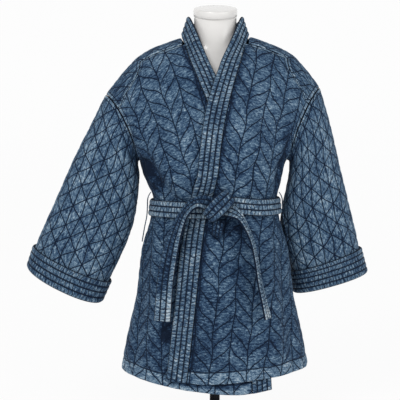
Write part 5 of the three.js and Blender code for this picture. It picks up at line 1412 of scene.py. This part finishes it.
def form_torso():
    """The limbless form, with the forward lean of its neck."""
    at = rows_through(FORM)
    number = np.linspace(0, len(FORM) - 1, FORM_MESH["rings"] + 1)[:, None]
    angle = whole_turn(FORM_MESH["around"])
    cos, sin = np.cos(angle), np.sin(angle)
    shape = 2 / FORM_MESH["exponent"]
    deep = np.where(sin < 0, at["front"](number), at["back"](number))
    x = at["half"](number) * np.sign(cos) * np.abs(cos) ** shape
    y = deep * np.sign(sin) * np.abs(sin) ** shape
    tilt = np.radians(at["tilt"](number))
    rise = HEM_Z + at["rise"](number) + y * np.sin(tilt)
    return closed_rings("form_shell", stacked(x, at["lean"](number) + y * np.cos(tilt), rise), shell)


def turned(name, profile, material, place=(0, 0, 0), tilt=0.0, around=96):
    """A lathe-turned piece from (radius, height) pairs, tilted forward about X."""
    angle = whole_turn(around)
    radius, z = np.array(profile, float).T[..., None]
    x, y = radius * np.cos(angle), radius * np.sin(angle)
    cos, sin = math.cos(tilt), math.sin(tilt)
    rings = stacked(x, y * cos - z * sin, y * sin + z * cos) + np.array(place, float)
    return closed_rings(name, rings, material)


def rounded_corner(radius, height, size, steps=6):
    """The points of a rounded outer corner, from the side up to the top."""
    turns = np.linspace(0, QUARTER, steps)
    return [(radius - size + size * math.cos(a), height - size + size * math.sin(a)) for a in turns]


def neck_cap():
    """A flat cap with rounded edges, square to the leaning neck."""
    top = FORM[-1]
    tilt = math.radians(top["tilt"])
    radius, tall, edge, gap = (NECK_CAP[key] for key in ("radius", "tall", "edge", "gap"))
    place = (0, top["lean"] - gap * math.sin(tilt), HEM_Z + top["rise"] + gap * math.cos(tilt))
    foot = [(radius - NECK_CAP["foot"], 0), (radius, NECK_CAP["foot"])]
    return turned("form_cap", foot + rounded_corner(radius, tall, edge), shell, place, tilt)


def pole():
    bottom = BASE["thick"] + BASE["boss_tall"] + SEAM_GAP
    top = HEM_Z + FORM[0]["rise"] - SEAM_GAP
    return turned("pole_tube", [(POLE_RADIUS, bottom), (POLE_RADIUS, top)], steel, around=48)


def base():
    """A round plate with a boss that takes the pole."""
    plate = rounded_corner(BASE["radius"], BASE["thick"], BASE["bevel"])
    boss = rounded_corner(BASE["boss"], BASE["thick"] + BASE["boss_tall"], BASE["bevel"])
    fillet = [(BASE["boss"] + BASE["fillet"], BASE["thick"]), (BASE["boss"], BASE["thick"] + BASE["fillet"])]
    return turned("base_plate", [(BASE["radius"], 0)] + plate + fillet + boss, steel)


# ---- Making the pieces, attaching them and hiding the imported parts they replace ----
def belongs(piece, slot, *nodes):
    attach(piece, "root")
    if nodes:
        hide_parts(*nodes)
    return piece


def cut_from(piece, flat):
    """Works out, in metres, the size that a piece of cloth was cut to, and keeps none of it."""
    wide, long, *area = [value * MM for value in flat]
    area = area[0] * MM if area else None


over, over_hem, over_cut = front(
    "front_over_cloth", RIGHT, OVER_EDGE, over_drop, lap_lift, OVER_PAINTED_SHADOWS, WANDER_START["over"]
)
under, under_hem, under_cut = front(
    "front_under_cloth", LEFT, UNDER_EDGE, under_drop, no_lift, UNDER_PAINTED_SHADOWS, WANDER_START["under"]
)
for piece, node, cut in ((over, "front_over", over_cut), (under, "front_under", under_cut)):
    belongs(piece, "leaf_quilt", node)
    cut_from(piece, cut)
back_piece, back_cut = back()
belongs(back_piece, "grid_quilt", "back")
cut_from(back_piece, back_cut)
for side, word in ((LEFT, "left"), (RIGHT, "right")):
    tube, cut = sleeve(f"sleeve_{word}_cloth", side)
    belongs(tube, "grid_quilt", f"sleeve_{word}")
    cut_from(tube, cut)
    ring, lines, cut = cuff(f"cuff_{word}_cloth", side)
    belongs(ring, "stitched_trim", f"cuff_{word}")
    cut_from(ring, cut)
    belongs(sew(f"cuff_{word}_stitches", lines), "stitched_trim")
    belongs(belt_loop(f"belt_loop_{word}_cloth", side), "stitched_trim", f"belt_loop_{word}")

band, band_lines, band_cut = collar_band()
belongs(band, "stitched_trim", "collar_band")
cut_from(band, band_cut)
belongs(sew("collar_band_stitches", band_lines), "stitched_trim")
belt_lines = []
belt = [("belt_waist", belt_waist())] + [(row["node"], strap(**row)) for row in STRAPS]
for node, (piece, lines, cut) in belt:
    belongs(piece, "stitched_trim", node)
    cut_from(piece, cut)
    belt_lines += lines
belongs(sew("belt_stitches", belt_lines), "stitched_trim")
belongs(sew("hem_stitches", [over_hem, under_hem]), "leaf_quilt")

belongs(form_torso(), "form_shell", "form_torso")
belongs(neck_cap(), "form_shell", "form_neck_cap")
belongs(pole(), "stand_metal", "stand_pole")
belongs(base(), "stand_metal", "stand_base")


# ---- Floor, light and camera, in metres ----
SWEEP = {"wide": 9.0, "front": -4.0, "turn": 2.0, "radius": 1.0, "tall": 4.5, "steps": 12, "sunk": 0.0005}
GLOW = 0.9  # how much of the paper's white is its own light
DAYLIGHT = 0.5
LIGHTS = table(
    "name place aim size watts",
    ("key", (-1.1, -2.2, 2.3), (0, 0, 0.65), 1.2, 34), ("fill", (1.8, -1.8, 1.3), (0, 0, 0.6), 1.6, 14),
)


def studio():
    """A seamless white sweep, so softly and evenly lit that it holds almost no shadow."""
    material, tree = new_material("white_paper_sweep")
    paper = add(tree, "ShaderNodeBsdfDiffuse", {"Color": colour(0xFFFFFF)}).outputs[0]
    glow = add(tree, "ShaderNodeEmission", {"Color": colour(0xFFFFFF), "Strength": 1.0}).outputs[0]
    mixed = add(tree, "ShaderNodeMixShader", {0: GLOW, 1: paper, 2: glow}).outputs[0]
    add(tree, "ShaderNodeOutputMaterial", {0: mixed})
    turn, radius = SWEEP["turn"], SWEEP["radius"]
    turns = np.linspace(0, QUARTER, SWEEP["steps"])[1:]
    profile = [(SWEEP["front"], 0.0), (turn, 0.0)]
    profile += [(turn + radius * math.sin(a), radius - radius * math.cos(a)) for a in turns]
    profile.append((turn + radius, SWEEP["tall"]))
    points = [(x, y, z - SWEEP["sunk"]) for y, z in profile for x in (-SWEEP["wide"], SWEEP["wide"])]
    faces = [(2 * i, 2 * i + 1, 2 * i + 3, 2 * i + 2) for i in range(len(profile) - 1)]
    smooth_piece("sweep", points, faces, material)

    world = bpy.data.worlds.new("studio")
    world.use_nodes = True
    background = world.node_tree.nodes["Background"].inputs
    background[0].default_value, background[1].default_value = colour(0xFFFFFF), DAYLIGHT
    bpy.context.scene.world = world


def soft_light(name, place, aim, size, watts):
    """A square softbox."""
    lamp = bpy.data.lights.new(name, "AREA")
    lamp.energy = watts
    lamp.size = size
    made = placed(name, lamp)
    made.location = place
    made.rotation_euler = (Vector(aim) - Vector(place)).to_track_quat("-Z", "Y").to_euler()


CAMERA = {"x": -0.03675, "back": 2.2, "height": 0.736, "down": 4.0}
CAMERA |= {"sensor": 36, "focal_pixels": 898, "frame_pixels": 400}


def camera():
    data = bpy.data.cameras.new("camera")
    data.sensor_width = CAMERA["sensor"]
    data.lens = CAMERA["sensor"] * CAMERA["focal_pixels"] / CAMERA["frame_pixels"]
    made = placed("camera", data)
    made.location = (CAMERA["x"], -CAMERA["back"], CAMERA["height"])
    made.rotation_euler = (math.radians(90 - CAMERA["down"]), 0, 0)
    bpy.context.scene.camera = made


studio()
for row in LIGHTS:
    soft_light(**row)
camera()
bpy.context.scene.view_settings.view_transform = "Standard"
